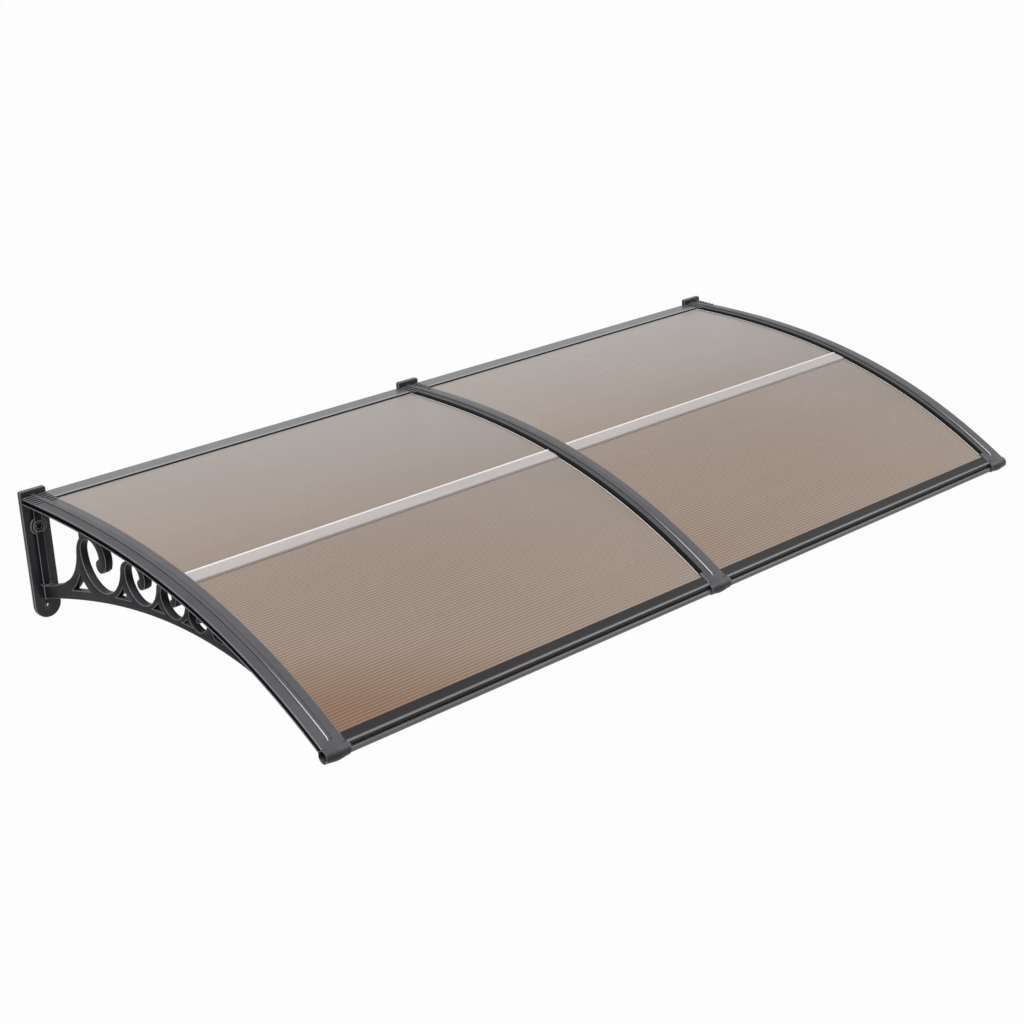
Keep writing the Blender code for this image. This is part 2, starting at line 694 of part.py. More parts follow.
def front_bar_outline():
    """Two lips that hold the sheet's front edge, running round a creased nose."""
    upper = FLANGE_THICK - LIP_THICK
    lower = SHEET_BOTTOM_DEPTH + 2 * FIT
    lip_end, slot_end = front_slot()
    lip_flat = lip_end + LIP_NOSE
    nose = []
    above = spread(NOSE_START, CREASE_ANGLE + CREASE_HALF, 5)
    below = spread(CREASE_ANGLE - CREASE_HALF, NOSE_END, 9)
    for angle in above + [CREASE_ANGLE] + below:
        radius = TUBE_RADIUS - (CREASE_DEPTH if angle == CREASE_ANGLE else 0.0)
        along, rise = on_circle((0.0, 0.0), radius, angle)
        nose.append((along, KNUCKLE_DEPTH - rise))
    top_lip = ((lip_end, FLANGE_THICK), (lip_end, upper + LIP_ROUND), (lip_flat, upper))
    low_lip = ((lip_flat, lower + LIP_THICK), (lip_flat, lower), (slot_end, lower), (slot_end, FLANGE_THICK))
    return ([on_facets(out, depth) for out, depth in top_lip]
            + in_tangent_frame(RAIL_END_OUT, nose)
            + [on_facets(out, depth) for out, depth in low_lip])


def front_bar_mesh():
    """Bar with the tube that reaches into the knuckles, its bore and the screws' pilot holes."""
    bar = add_cutter("front_bar", extrude_outline("front_bar", [front_bar_outline()], 2 * BAY_HALF_GAP))
    reach = BAY_HALF_GAP + TUBE_INSERT
    axis = knuckle_place() @ ALONG_WALL
    combine(bar, [cylinder("bar_tube", TUBE_RADIUS, -reach, reach, ROUND_SIDES, axis)], "UNION", "bar_part")
    holes = [cylinder("bar_bore", TUBE_BORE, -reach - CUT_PAST, reach + CUT_PAST, ROUND_SIDES, axis)]
    for side in (-1, 1):
        place = Matrix.Translation((side * (PITCH / 2 - SCREW_OFFSET), 0.0, 0.0)) @ knuckle_place() @ DOWNWARD
        past = TUBE_RADIUS + CUT_PAST
        holes.append(cylinder("pilot", SCREW_SHANK + FIT, SCREW_POINT - CUT_PAST / 2, past, SCREW_SIDES, place))
    return combine(bar, holes, "DIFFERENCE", "bar_cut").data


def screw_mesh():
    """Pan-head self-tapping screw, its head downwards, about the tube's centre line."""
    seat = SCREW_SEAT + FIT
    top = seat + SCREW_HEAD_HEIGHT
    dome = SCREW_HEAD_HEIGHT - DRIVE_DEPTH
    profile = [(top, 0.0), (top, SCREW_HEAD - dome), (top - dome, SCREW_HEAD), (seat, SCREW_HEAD),
               (seat, SCREW_SHANK), (SCREW_POINT + SCREW_POINT_LENGTH, SCREW_SHANK), (SCREW_POINT, 0.0)]
    blank = add_cutter("screw", turned("screw", profile, SCREW_SIDES, DOWNWARD))
    slots = []
    for turn in (0, 90):
        slot = box("drive_slot", (-DRIVE_HALF_WIDTH, DRIVE_HALF_WIDTH), (-DRIVE_HALF_LENGTH, DRIVE_HALF_LENGTH),
                   (-top - CUT_PAST, -top + DRIVE_DEPTH))
        slot.transform(Matrix.Rotation(math.radians(turn), 4, "Z"))
        slots.append(slot)
    return combine(blank, slots, "DIFFERENCE", "drive").data


def seal_mesh():
    """Flat strip between the rear bar and the wall."""
    heights = (RAIL_LEVEL + SEAL_FOOT, RAIL_LEVEL + SEAL_HEAD)
    return box("wall_seal", (-PLATE_HALF_GAP, PLATE_HALF_GAP), (0.0, SEAL_THICK), heights)


def place_pieces():
    bracket = make_bracket_mesh()
    knuckle = knuckle_mesh()
    tube = knuckle_place().translation
    for side, x in (("left", -PITCH), ("middle", 0.0), ("right", PITCH)):
        add_piece(f"bracket_{side}", bracket, charcoal, (x, 0.0, 0.0))
        add_piece(f"knuckle_{side}", knuckle, charcoal, (x, tube.y, tube.z))
    rear = (REAR_SHEET_START, JOINER_OUT - JOINER_WEB_HALF - FIT)
    front = (JOINER_OUT + JOINER_WEB_HALF + FIT, front_slot()[1] - SHEET_FRONT_ROOM)
    kinds = (("sheet_rear", sheet_mesh("sheet_rear", *rear), bronze),
             ("sheet_front", sheet_mesh("sheet_front", *front), bronze),
             ("joiner", joiner_mesh(), frosted),
             ("rear_bar", rear_bar_mesh(), grey_metal),
             ("front_bar", front_bar_mesh(), dark_metal),
             ("wall_seal", seal_mesh(), rubber))
    for side, x in (("left", -PITCH / 2), ("right", PITCH / 2)):
        for kind, mesh, material in kinds:
            add_piece(f"{kind}_{side}", mesh, material, (x, 0.0, 0.0))
    screw = screw_mesh()
    for number, x in enumerate((-PITCH + SCREW_OFFSET, -SCREW_OFFSET, SCREW_OFFSET, PITCH - SCREW_OFFSET)):
        add_piece(f"bar_screw_{number + 1}", screw, steel, (x, tube.y, tube.z))


place_pieces()
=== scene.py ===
import math

import bmesh
import bpy
from mathutils import Matrix, Vector


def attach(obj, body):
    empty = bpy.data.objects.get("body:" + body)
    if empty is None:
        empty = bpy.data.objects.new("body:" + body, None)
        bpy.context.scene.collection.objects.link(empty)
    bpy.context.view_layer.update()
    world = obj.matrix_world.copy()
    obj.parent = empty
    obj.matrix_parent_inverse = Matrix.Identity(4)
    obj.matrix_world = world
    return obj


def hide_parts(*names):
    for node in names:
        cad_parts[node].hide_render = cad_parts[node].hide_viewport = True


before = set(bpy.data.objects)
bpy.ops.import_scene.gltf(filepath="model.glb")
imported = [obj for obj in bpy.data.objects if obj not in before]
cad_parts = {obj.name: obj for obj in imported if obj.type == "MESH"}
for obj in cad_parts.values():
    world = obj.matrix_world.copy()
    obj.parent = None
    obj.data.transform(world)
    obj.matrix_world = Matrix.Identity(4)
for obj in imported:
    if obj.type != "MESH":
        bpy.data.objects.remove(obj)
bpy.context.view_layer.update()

# Sizes are in metres, in the solids' frame, and angles in degrees. "out" is the distance from the
# wall, towards -Y. The heights of the plate's top, round foot, pockets and bolts, of the root block
# and of the arm's top are measured from the rail's level at the wall.
PITCH = 0.971
RAIL_LEVEL = 0.130
RAIL_END_OUT = 0.958
RAIL_HALF = 0.026
EARLY_CURVE = 0.0972
LATE_CURVE = 0.1660
UNDERSIDE = 0.0120
HOLLOW_RADIUS = 0.0134
RIDGE_END = 0.944
RIDGE_FADE = 0.008
GRIP_RIBS = 5
GRIP_FIRST = 0.0195
GRIP_PITCH = 0.0100
GRIP_HALF = 0.0024
GRIP_SIDES = (0.0062, 0.0252)
GRIP_HEIGHT = 0.0036
GRIP_LOSS = 0.0005
GRIP_SUNK = 0.001
GRIP_ROUNDING = 0.0007

# First, last and number of the rail's stations, closer together where the ridge runs out
RAIL_STATIONS = ((0.007, 0.935, 88), (0.938, RAIL_END_OUT - 0.004, 6))

# Wall plate
PLATE_THICK = 0.010
PLATE_HALF = 0.029
PLATE_TOP = 0.0135
PLATE_CORNER = 0.0045
PLATE_ROUND_CENTRE = -0.2326
PLATE_ROUNDING = 0.0014
POCKET_DEPTH = 0.0065
POCKET_SIDES = (0.0045, 0.0255)
POCKET_HEIGHTS = ((-0.218, -0.082), (-0.045, 0.010))
BOLT_RADIUS = 0.0042
UPPER_BOLT = -0.063
LOWER_BOLT = -0.2355
BOSS_FOOT = 0.009
ROOT_BLOCK_HALF = 0.0108
ROOT_BLOCK_OUT = (0.009, 0.0225)
ROOT_BLOCK_HEIGHTS = (-0.2165, -0.1875)
PIN_OFFSET = 0.0068
PIN_OUT = 0.0165
PIN_SUNK = 0.0005

# Scroll web
WEB_THICK = 0.0165
WEB_DEPTH = 0.2085
WEB_REACH = 0.90
WEB_TAPER = 1.2
WEB_TOP_DEPTH = 0.0110
WEB_LEAST = 0.001
WEB_ROOT = 0.006
WEB_TOP_ROOM = 0.005
WEB_TIP_ROOM = 0.001
WEB_ROUNDING = 0.0011
WEB_SOCKET_RADIUS = 0.0060
WEB_SOCKET_OUT = (0.0115, 0.0240)
OPENING_TOP = 0.02
SCROLLS = 4
FIRST_SCROLL_OUT = 0.253
SCROLL_STEP = 0.1415
SCROLL_SHRINK = 0.75
SCROLL_HEIGHT = 0.63
LOOP_RADIUS = 0.067
LOOP_END = 187
SWEEP_RADIUS = 0.080
SWEEP_SPAN = (290, 350)
FLARE_RADIUS = 0.030
FLARE_END = 105
ARCH_CENTRE = (0.0705, -0.0651)
ARCH_RADIUS = 0.0984
ARCH_SPAN = (303, 352)
ARCH_FLARE = 0.055
ARCH_FLARE_END = 132
ARM_TOP = ((0.0175, -0.1900), (0.0205, -0.1890), (0.0580, -0.1775), (0.0950, -0.1647))
TRIANGLE_LIFT = 0.0195
TRIANGLE_LEFT = 0.119
TRIANGLE_RIGHT = 0.049
TRIANGLE_PEAK_BACK = 0.0815
TRIANGLE_PEAK_DOWN = 0.0505
TRIANGLE_PEAK_RISE = 0.006
TRIANGLE_SHIFTS = (0.0, 0.007, 0.010, 0.004)
TRIANGLE_BOW = 0.008
SLIT_TOP = (0.622, 0.660)
SLIT_TOP_DEPTH = 0.0226
SLIT_FOOT = (0.655, 0.629)
SLIT_LIFT = 0.0150

# Arcs of the largest scroll, about its centre: centre, radius, first and last angle
EYE = ((-0.034, 0.0), 0.033, 180, 4)
BULB = ((0.0, -0.014), 0.014, 110, 320)
CURL = ((-0.016, 0.003), 0.040, -34, 58)

# Knuckle, sheets and the strips around them
KNUCKLE_DEPTH = 0.011
KNUCKLE_RADIUS = 0.0124
KNUCKLE_SWELL = 0.0023
SOCKET_RADIUS = 0.0113
TUBE_RADIUS = 0.0110
TUBE_BORE = 0.0088
TUBE_OVERLAP = 0.0025
SCREW_OFFSET = 0.0185
LIPS_STRAIGHT = -0.006
FIT = 0.0003
SHEET_TOP = 0.0035
SHEET_BOTTOM = 0.0085
SHEET_INSERT = 0.016
SHEET_SPANS = {"rear": (0.014, 0.5148), "front": (0.5172, 0.9425)}
FLUTE_PITCH = 0.0062
JOINER_OUT = 0.516
# Spans along the rails of the strips of painted shade, and of their legs
FLANGE_SHADE_SPAN = (0.0625, 0.928)
FLANGE_SHADE_LEG_SPANS = ((0.0505, 0.4965), (0.5355, 0.928))
SHEET_HALF = PITCH / 2 - RAIL_HALF + SHEET_INSERT
BAY_HALF_GAP = PITCH / 2 - RAIL_HALF - FIT

# Radius of a screw's hole and of its counterbore, and how far from the knuckle's axis they start and end
SCREW_HOLES = ((0.0019, 0.0055), (0.0036, 0.0122))
SCREW_HOLE_END = 0.018

# Sine and cosine of the turn between the bar's nose and the line of sight
NOSE_TURN = (0.515, 0.857)

# How finely shapes are drawn
ARC_STEP = 0.0015
SHEET_ROWS = 120
SHEET_COLUMNS = 13
CUT_PAST = 0.002
CUT_MERGE = 0.00002
PLATE_MERGE = 0.00001
SMOOTH_ANGLE = math.radians(35)
SHARP_ANGLE = math.radians(50)
FLAT_ANGLE = math.radians(0.5)

# Numbers of the finishes in a bracket's list of materials, and of the tube's in a front bar's
# Rounded edges carry a painted highlight, slots and recesses painted shade, the ridge's left side a painted
# highlight, and the web painted shade.
MOULDING, EDGE_PAINTED_HIGHLIGHT, PAINTED_SHADE, RIDGE_PAINTED_HIGHLIGHT, WEB = range(5)
TUBE = 2

# Colours of the sheets
SHEET_BODY = ((0.320, 0.238, 0.182), (0.365, 0.280, 0.222))
SHEET_LINE = (0.170, 0.105, 0.068)
# Colour of the painted reflection on the sheets
SHEET_PAINTED_REFLECTION = (0.310, 0.268, 0.246)
SHEET_CORNER = (0.275, 0.152, 0.082)
SHEET_CORNER_LINE = (0.125, 0.055, 0.022)

# Stage and camera, with the camera's shift in pixels of the photograph
FLOOR_LEVEL = -2.2
FLOOR_SIZE = 150
FLOOR_WHITE = 0.96
WORLD_LIGHT = 0.55
LAMPS = {"key": ((-2.5, -2.5, 4.0), 2.2, 165.0), "fill": ((3.0, -3.0, 2.5), 3.0, 60.0)}
LAMP_TARGET = (0.0, -0.45, 0.0)
PHOTO_WIDTH = 1024
CAMERA_SHIFT = (-10.0, 0.8)
CAMERA_LENS = 66.98
CAMERA_AZIMUTH = -132.177
CAMERA_ELEVATION = 20.067
CAMERA_ROLL = -2.771
CAMERA_PLACE = (-2.6563, -3.31, 1.2203 + RAIL_LEVEL)


# The rail's curve

def fall(out):
    """Height of the rail's top line against its level at the wall."""
    return -(EARLY_CURVE * out**2 + LATE_CURVE * out**3)


def steepness(out):
    return 2 * EARLY_CURVE * out + 3 * LATE_CURVE * out**2


def below_rail(out, depth, along=0.0):
    """Point (out from the wall, height) at a depth square to the rail's top line."""
    slope = -steepness(out)
    length = math.hypot(1.0, slope)
    tangent = (1.0 / length, slope / length)
    return (out + tangent[1] * depth + tangent[0] * along,
            RAIL_LEVEL + fall(out) - tangent[0] * depth + tangent[1] * along)


def straight_below(out, depth):
    return RAIL_LEVEL + fall(out) - depth * math.hypot(1.0, steepness(out))


def stepped(out, along):
    """Place out from the wall after a step along the rail's top line."""
    return out + along / math.hypot(1.0, steepness(out))


def ridge_share(out):
    """The ridge along the rail's top runs out just before the knuckle."""
    return min(1.0, max(0.0, (RIDGE_END - out) / RIDGE_FADE))


def spread(first, last, count):
    return [first + (last - first) * step / (count - 1) for step in range(count)]


def on_circle(centre, radius, angle):
    turn = math.radians(angle)
    return (centre[0] + radius * math.cos(turn), centre[1] + radius * math.sin(turn))


def arc(centre, radius, start, end, size=1.0):
    """Points on an arc, about a step apart at their real size."""
    count = max(6, int(abs(math.radians(end - start)) * radius * size / ARC_STEP))
    return [on_circle(centre, radius, angle) for angle in spread(start, end, count)]


# Centre of the barrel, to a hundredth of a millimetre
KNUCKLE_PLACE = tuple(round(value, 5) for value in below_rail(RAIL_END_OUT, KNUCKLE_DEPTH))
OUTWARD = Matrix.Rotation(math.radians(90), 4, "X")
SIDEWAYS = Matrix.Rotation(math.radians(90), 4, "Y")
SIDE_VIEW = Matrix(((0, 0, 1, 0), (-1, 0, 0, 0), (0, 1, 0, 0), (0, 0, 0, 1)))
FRONT_VIEW = Matrix(((1, 0, 0, 0), (0, 0, -1, 0), (0, 1, 0, 0), (0, 0, 0, 1)))


# Materials

def new_material(name, colour, roughness, metallic=0.0):
    material = bpy.data.materials.new(name)
    material.use_nodes = True
    shader = material.node_tree.nodes["Principled BSDF"]
    shader.inputs["Base Color"].default_value = (*colour, 1.0)
    shader.inputs["Roughness"].default_value = roughness
    shader.inputs["Metallic"].default_value = metallic
    return material, shader


class Nodes:
    """Short calls to add and join shader nodes."""

    def __init__(self, tree):
        self.tree = tree

    def add(self, kind, **values):
        node = self.tree.nodes.new(kind)
        for key, value in values.items():
            setattr(node, key, value)
        return node

    def join(self, source, target):
        self.tree.links.new(source, target)

    def position(self, stretch=(1.0, 1.0, 1.0)):
        coords = self.add("ShaderNodeTexCoord")
        mapping = self.add("ShaderNodeMapping")
        mapping.inputs["Scale"].default_value = stretch
        self.join(coords.outputs["Object"], mapping.inputs["Vector"])
        return mapping.outputs["Vector"]

    def axes(self, vector):
        node = self.add("ShaderNodeSeparateXYZ")
        self.join(vector, node.inputs["Vector"])
        return node.outputs

    def noise(self, scale, detail=3.0, stretch=(1.0, 1.0, 1.0)):
        node = self.add("ShaderNodeTexNoise")
        node.inputs["Scale"].default_value = scale
        node.inputs["Detail"].default_value = detail
        self.join(self.position(stretch), node.inputs["Vector"])
        return node.outputs["Fac"]

    def math(self, operation, *values):
        node = self.add("ShaderNodeMath", operation=operation)
        for socket, value in zip(node.inputs, values):
            if isinstance(value, float):
                socket.default_value = value
            else:
                self.join(value, socket)
        return node.outputs[0]

    def ramp(self, value, first, last, low=0.0, high=1.0, kind="LINEAR"):
        """Takes first to low and last to high, and holds the ends."""
        node = self.add("ShaderNodeMapRange", interpolation_type=kind)
        limits = {"From Min": first, "From Max": last, "To Min": low, "To Max": high}
        for socket, limit in limits.items():
            node.inputs[socket].default_value = limit
        self.join(value, node.inputs["Value"])
        return node.outputs["Result"]

    def between(self, factor, low, high):
        return self.ramp(factor, 0.0, 1.0, low, high)

    def blend(self, factor, first, second):
        node = self.add("ShaderNodeMix", data_type="RGBA")
        self.join(factor, node.inputs["Factor"])
        for socket, value in ((node.inputs["A"], first), (node.inputs["B"], second)):
            if isinstance(value, tuple):
                socket.default_value = (*value, 1.0)
            else:
                self.join(value, socket)
        return node.outputs["Result"]

    def bump(self, height, distance):
        node = self.add("ShaderNodeBump")
        node.inputs["Distance"].default_value = distance
        node.inputs["Strength"].default_value = 0.5
        self.join(height, node.inputs["Height"])
        return node.outputs["Normal"]

    def surface(self, shader, colour, roughness, normal=None):
        self.join(colour, shader.inputs["Base Color"])
        self.join(roughness, shader.inputs["Roughness"])
        if normal is not None:
            self.join(normal, shader.inputs["Normal"])


def charcoal_plastic(name, dark, pale, roughness, dust_and_top_light=None, specular=0.29):
    """Satin moulded plastic: fine spark grain, soft flow marks, and faces that look up turned paler, as dust
    and as painted light from above.
    """
    material, shader = new_material(name, dark, roughness)
    nodes = Nodes(material.node_tree)
    colour = nodes.blend(nodes.noise(9.0, 4.0), dark, pale)
    if dust_and_top_light is not None:
        # Faces that look up turn paler in patches: dust, and painted light from above.
        upward = nodes.axes(nodes.add("ShaderNodeNewGeometry").outputs["True Normal"])["Z"]
        patches = nodes.between(nodes.noise(22.0, 4.0), 0.7, 1.1)
        paler_top_mask = nodes.math("MULTIPLY", nodes.ramp(upward, 0.20, 0.72), patches)
        colour = nodes.blend(paler_top_mask, colour, dust_and_top_light)
    gloss = nodes.between(nodes.noise(35.0, 3.0), roughness - 0.06, roughness + 0.08)
    nodes.surface(shader, colour, gloss, nodes.bump(nodes.noise(1400.0, 2.0), 0.00012))
    shader.inputs["Specular IOR Level"].default_value = specular
    return material


def ridge_highlight(name, dark, pale):
    """The ridge's edge, with a painted highlight that brightens towards the front of the rail."""
    material, shader = new_material(name, dark, 0.30)
    nodes = Nodes(material.node_tree)
    frontness = nodes.ramp(nodes.axes(nodes.position())["Y"], -0.76, -0.93)
    patches = nodes.between(nodes.noise(30.0, 4.0), 0.6, 1.2)
    colour = nodes.blend(nodes.math("MULTIPLY", frontness, patches), dark, pale)
    gloss = nodes.between(nodes.noise(35.0, 3.0), 0.24, 0.36)
    nodes.surface(shader, colour, gloss, nodes.bump(nodes.noise(1400.0, 2.0), 0.0001))
    return material


def rib_lines(nodes):
    """Lines over the sheet's inner ribs, from its run map."""
    run = nodes.axes(nodes.add("ShaderNodeUVMap", uv_map="run").outputs["UV"])["Y"]
    cell = nodes.math("FRACT", nodes.math("DIVIDE", run, FLUTE_PITCH))
    from_middle = nodes.math("ABSOLUTE", nodes.math("SUBTRACT", cell, 0.5))
    return nodes.ramp(from_middle, 0.16, 0.44, kind="SMOOTHSTEP")


def bronze_sheet(name, depth):
    """Translucent twin-wall sheet with fine rib lines and a painted reflection that greys it towards the
    right and the rear; depth is how far its front corner darkens.
    """
    material, shader = new_material(name, (0.36, 0.27, 0.20), 0.28)
    nodes = Nodes(material.node_tree)
    rib = rib_lines(nodes)
    place = nodes.axes(nodes.position())
    out = nodes.math("MULTIPLY", place["Y"], -1.0)
    frontness = nodes.ramp(out, 0.30, 0.62, kind="SMOOTHSTEP")
    rightness = nodes.ramp(place["X"], -0.15, 0.42, 1.0, 0.62, "SMOOTHSTEP")
    to_corner = nodes.math("SUBTRACT", out, nodes.math("MULTIPLY", place["X"], 0.40))
    corner = nodes.math("MULTIPLY", nodes.ramp(to_corner, 0.90, 1.09, kind="SMOOTHSTEP"), depth)
    # Painted reflection, greying the sheet towards its right and its rear.
    reflection_slope = nodes.math("SUBTRACT", nodes.math("MULTIPLY", place["X"], 0.7), out)
    painted_reflection = nodes.ramp(reflection_slope, -0.95, 0.30, kind="SMOOTHSTEP")
    body = nodes.blend(nodes.noise(40.0, 3.0, (0.06, 1.0, 1.0)), *SHEET_BODY)
    body = nodes.blend(painted_reflection, body, SHEET_PAINTED_REFLECTION)
    body = nodes.blend(nodes.math("MULTIPLY", corner, 0.95), body, SHEET_CORNER)
    line = nodes.blend(corner, SHEET_LINE, SHEET_CORNER_LINE)
    strength = nodes.math("MULTIPLY", nodes.between(frontness, 0.22, 0.85), rightness)
    colour = nodes.blend(nodes.math("MULTIPLY", rib, strength), body, line)
    nodes.surface(shader, colour, nodes.between(nodes.noise(6.0, 3.0), 0.22, 0.34), nodes.bump(rib, 0.00012))
    shader.inputs["IOR"].default_value = 1.5
    shader.inputs["Transmission Weight"].default_value = 0.32
    shader.inputs["Coat Weight"].default_value = 0.35
    shader.inputs["Coat Roughness"].default_value = 0.2
    return material


def metal(name, dark, pale, metallic, roughness, specular=0.5):
    """Extruded aluminium with fine die lines along its length."""
    material, shader = new_material(name, dark, roughness, metallic)
    nodes = Nodes(material.node_tree)
    lines = nodes.noise(900.0, 3.0, (0.01, 1.0, 1.0))
    colour = nodes.blend(nodes.noise(5.0, 3.0), dark, pale)
    gloss = nodes.between(lines, roughness - 0.07, roughness + 0.09)
    nodes.surface(shader, colour, gloss, nodes.bump(lines, 0.00005))
    shader.inputs["Specular IOR Level"].default_value = specular
    return material


def frosted_strip(name, dark, pale):
    """Clear strip gone slightly milky, drawn lengthwise."""
    material, shader = new_material(name, pale, 0.3)
    nodes = Nodes(material.node_tree)
    lines = nodes.noise(700.0, 2.0, (0.01, 1.0, 1.0))
    colour = nodes.blend(nodes.noise(26.0, 3.0, (0.12, 1.0, 1.0)), dark, pale)
    nodes.surface(shader, colour, nodes.between(lines, 0.24, 0.38), nodes.bump(lines, 0.00006))
    shader.inputs["Transmission Weight"].default_value = 0.2
    return material


def seal_and_shade_black():
    """Matt black with a fine grain, for the wall seals and for strips of painted shade."""
    material, shader = new_material("black_seal_and_painted_shade", (0.005, 0.005, 0.005), 0.85)
    nodes = Nodes(material.node_tree)
    colour = nodes.blend(nodes.noise(30.0), (0.004, 0.004, 0.004), (0.009, 0.009, 0.010))
    gloss = nodes.between(nodes.noise(60.0), 0.78, 0.95)
    nodes.surface(shader, colour, gloss, nodes.bump(nodes.noise(900.0), 0.0001))
    shader.inputs["Specular IOR Level"].default_value = 0.12
    return material


def zinc():
    """Bright plated screws, slightly cloudy."""
    material, shader = new_material("zinc_plate", (0.55, 0.55, 0.56), 0.3, 1.0)
    nodes = Nodes(material.node_tree)
    colour = nodes.blend(nodes.noise(400.0), (0.47, 0.47, 0.46), (0.62, 0.62, 0.63))
    nodes.surface(shader, colour, nodes.between(nodes.noise(300.0), 0.24, 0.4))
    return material


# The moulding turns paler on faces that look up: dust, with painted light from above.
CHARCOAL = [charcoal_plastic("charcoal_moulding", (0.011, 0.011, 0.014), (0.019, 0.019, 0.023), 0.37,
                             dust_and_top_light=(0.070, 0.069, 0.077)),
            # Painted highlight for rounded edges and chamfers
            charcoal_plastic("charcoal_painted_highlight_edge", (0.110, 0.110, 0.118), (0.210, 0.210, 0.222), 0.30),
            # Painted shade for slots, recesses and the ridge's right side
            charcoal_plastic("charcoal_painted_crevice_shade", (0.004, 0.004, 0.005), (0.009, 0.009, 0.010), 0.70,
                             specular=0.08),
            # Painted highlight along the ridge's left edge
            ridge_highlight("charcoal_ridge_highlight", (0.090, 0.090, 0.098), (0.520, 0.520, 0.540)),
            # Darker copy of the moulding for the scroll web: painted shade
            charcoal_plastic("charcoal_scroll_web_painted_shade", (0.007, 0.007, 0.009), (0.013, 0.013, 0.017), 0.44,
                             dust_and_top_light=(0.056, 0.055, 0.062), specular=0.12)]
SHEET = {"left": bronze_sheet("bronze_twin_wall_left", 1.0),
         "right": bronze_sheet("bronze_twin_wall_right", 0.2)}
GREY = metal("grey_aluminium", (0.15, 0.15, 0.158), (0.19, 0.19, 0.198), 0.6, 0.4)
# Paler, glossier copy of the grey for the rear trim's rolled edge: painted highlight.
ROLLED_LIP_PAINTED_HIGHLIGHT = metal("painted_highlight_aluminium", (0.26, 0.26, 0.265), (0.34, 0.34, 0.345), 0.6, 0.3)
# The front bar's one aluminium in three copies: dark with painted shade for the lips, a painted highlight for
# the bead, painted light for the tube.
DARK_SHADED_LIPS = metal("dark_aluminium", (0.006, 0.005, 0.005), (0.011, 0.009, 0.009), 0.0, 0.5, 0.30)
BEAD_PAINTED_HIGHLIGHT = metal("bead_highlight_aluminium", (0.120, 0.119, 0.120), (0.165, 0.164, 0.165), 0.5, 0.36)
TUBE_PAINTED_LIGHT = metal("tube_painted_light_aluminium", (0.080, 0.079, 0.080), (0.115, 0.113, 0.114), 0.5, 0.34)
# The strip's own colour, then a bright copy as painted highlight and a dark copy as painted shade.
FROSTED = [frosted_strip("frosted_strip", (0.42, 0.380, 0.372), (0.54, 0.495, 0.485)),
           frosted_strip("frosted_highlight_copy", (0.78, 0.76, 0.75), (0.86, 0.85, 0.84)),
           frosted_strip("frosted_painted_shade", (0.21, 0.180, 0.165), (0.27, 0.240, 0.225))]
SEAL_AND_SHADE_BLACK = seal_and_shade_black()
ZINC = zinc()


# Mesh helpers

def linked(name, data):
    item = bpy.data.objects.new(name, data)
    bpy.context.scene.collection.objects.link(item)
    return item


def as_object(name, mesh, materials):
    """Piece of the canopy; pieces that share a mesh share its materials."""
    item = linked(name, mesh)
    if not mesh.materials:
        for material in materials:
            mesh.materials.append(material)
    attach(item, "root")
    return item


def as_mesh(name, shape):
    """Mesh made from a bmesh, which it frees."""
    mesh = bpy.data.meshes.new(name)
    shape.to_mesh(mesh)
    shape.free()
    return mesh


def evaluated_mesh(item):
    """The object's mesh with its curve filled and its modifiers applied."""
    graph = bpy.context.evaluated_depsgraph_get()
    return bpy.data.meshes.new_from_object(item.evaluated_get(graph))


def placed(mesh, x, out, height, turn=Matrix()):
    """The mesh turned about the origin and moved to its place."""
    mesh.transform(Matrix.Translation((x, -out, height)) @ turn)
    return mesh


def painted(mesh, number):
    """The mesh with one of its piece's materials, by number."""
    for polygon in mesh.polygons:
        polygon.material_index = number
    return mesh


def smooth(mesh):
    mesh.shade_smooth()
    mesh.set_sharp_from_angle(angle=SMOOTH_ANGLE)


def face_outwards(shape):
    bmesh.ops.recalc_face_normals(shape, faces=shape.faces)
    if shape.calc_volume(signed=True) < 0:
        bmesh.ops.reverse_faces(shape, faces=shape.faces)


def swept(stations, section, shades):
    """Section of (x, depth) carried along the rail's curve; shades gives its sides' materials by number."""
    shape = bmesh.new()
    rings = []
    for out in stations:
        ring = []
        for x, depth in section:
            place = below_rail(out, depth * ridge_share(out) if depth < 0 else depth)
            ring.append(shape.verts.new((x, -place[0], place[1])))
        rings.append(ring)
    for near, far, out in zip(rings, rings[1:], stations[1:]):
        for side in range(len(section)):
            after = (side + 1) % len(section)
            face = shape.faces.new((near[side], near[after], far[after], far[side]))
            if section[side][1] > 0.0 or ridge_share(out) > 0.0:
                face.material_index = shades.get(side, MOULDING)
    shape.faces.new(rings[0])
    shape.faces.new(rings[-1])
    bmesh.ops.recalc_face_normals(shape, faces=shape.faces)
    return as_mesh("swept", shape)


def turned(profile, segments=64, painted_highlight=()):
    """Closed profile of (distance along Z, radius) turned about the Z axis, some of its sides with a painted
    highlight.
    """
    shape = bmesh.new()
    rings = []
    for along, radius in profile:
        rings.append([shape.verts.new((*on_circle((0, 0), radius, 360 * step / segments), along))
                      for step in range(segments)])
    for side, (lower, upper) in enumerate(zip(rings, rings[1:] + rings[:1])):
        for step in range(segments):
            after = (step + 1) % segments
            face = shape.faces.new((lower[step], lower[after], upper[after], upper[step]))
            face.material_index = EDGE_PAINTED_HIGHLIGHT if side in painted_highlight else MOULDING
    bmesh.ops.recalc_face_normals(shape, faces=shape.faces)
    return as_mesh("turned", shape)


def cylinder(radius, first, last, segments=32):
    """Closed cylinder along Z, from first to last."""
    shape = bmesh.new()
    bmesh.ops.create_cone(shape, cap_ends=True, segments=segments, radius1=radius, radius2=radius,
                          depth=last - first, matrix=Matrix.Translation((0, 0, (first + last) / 2)))
    return as_mesh("cylinder", shape)


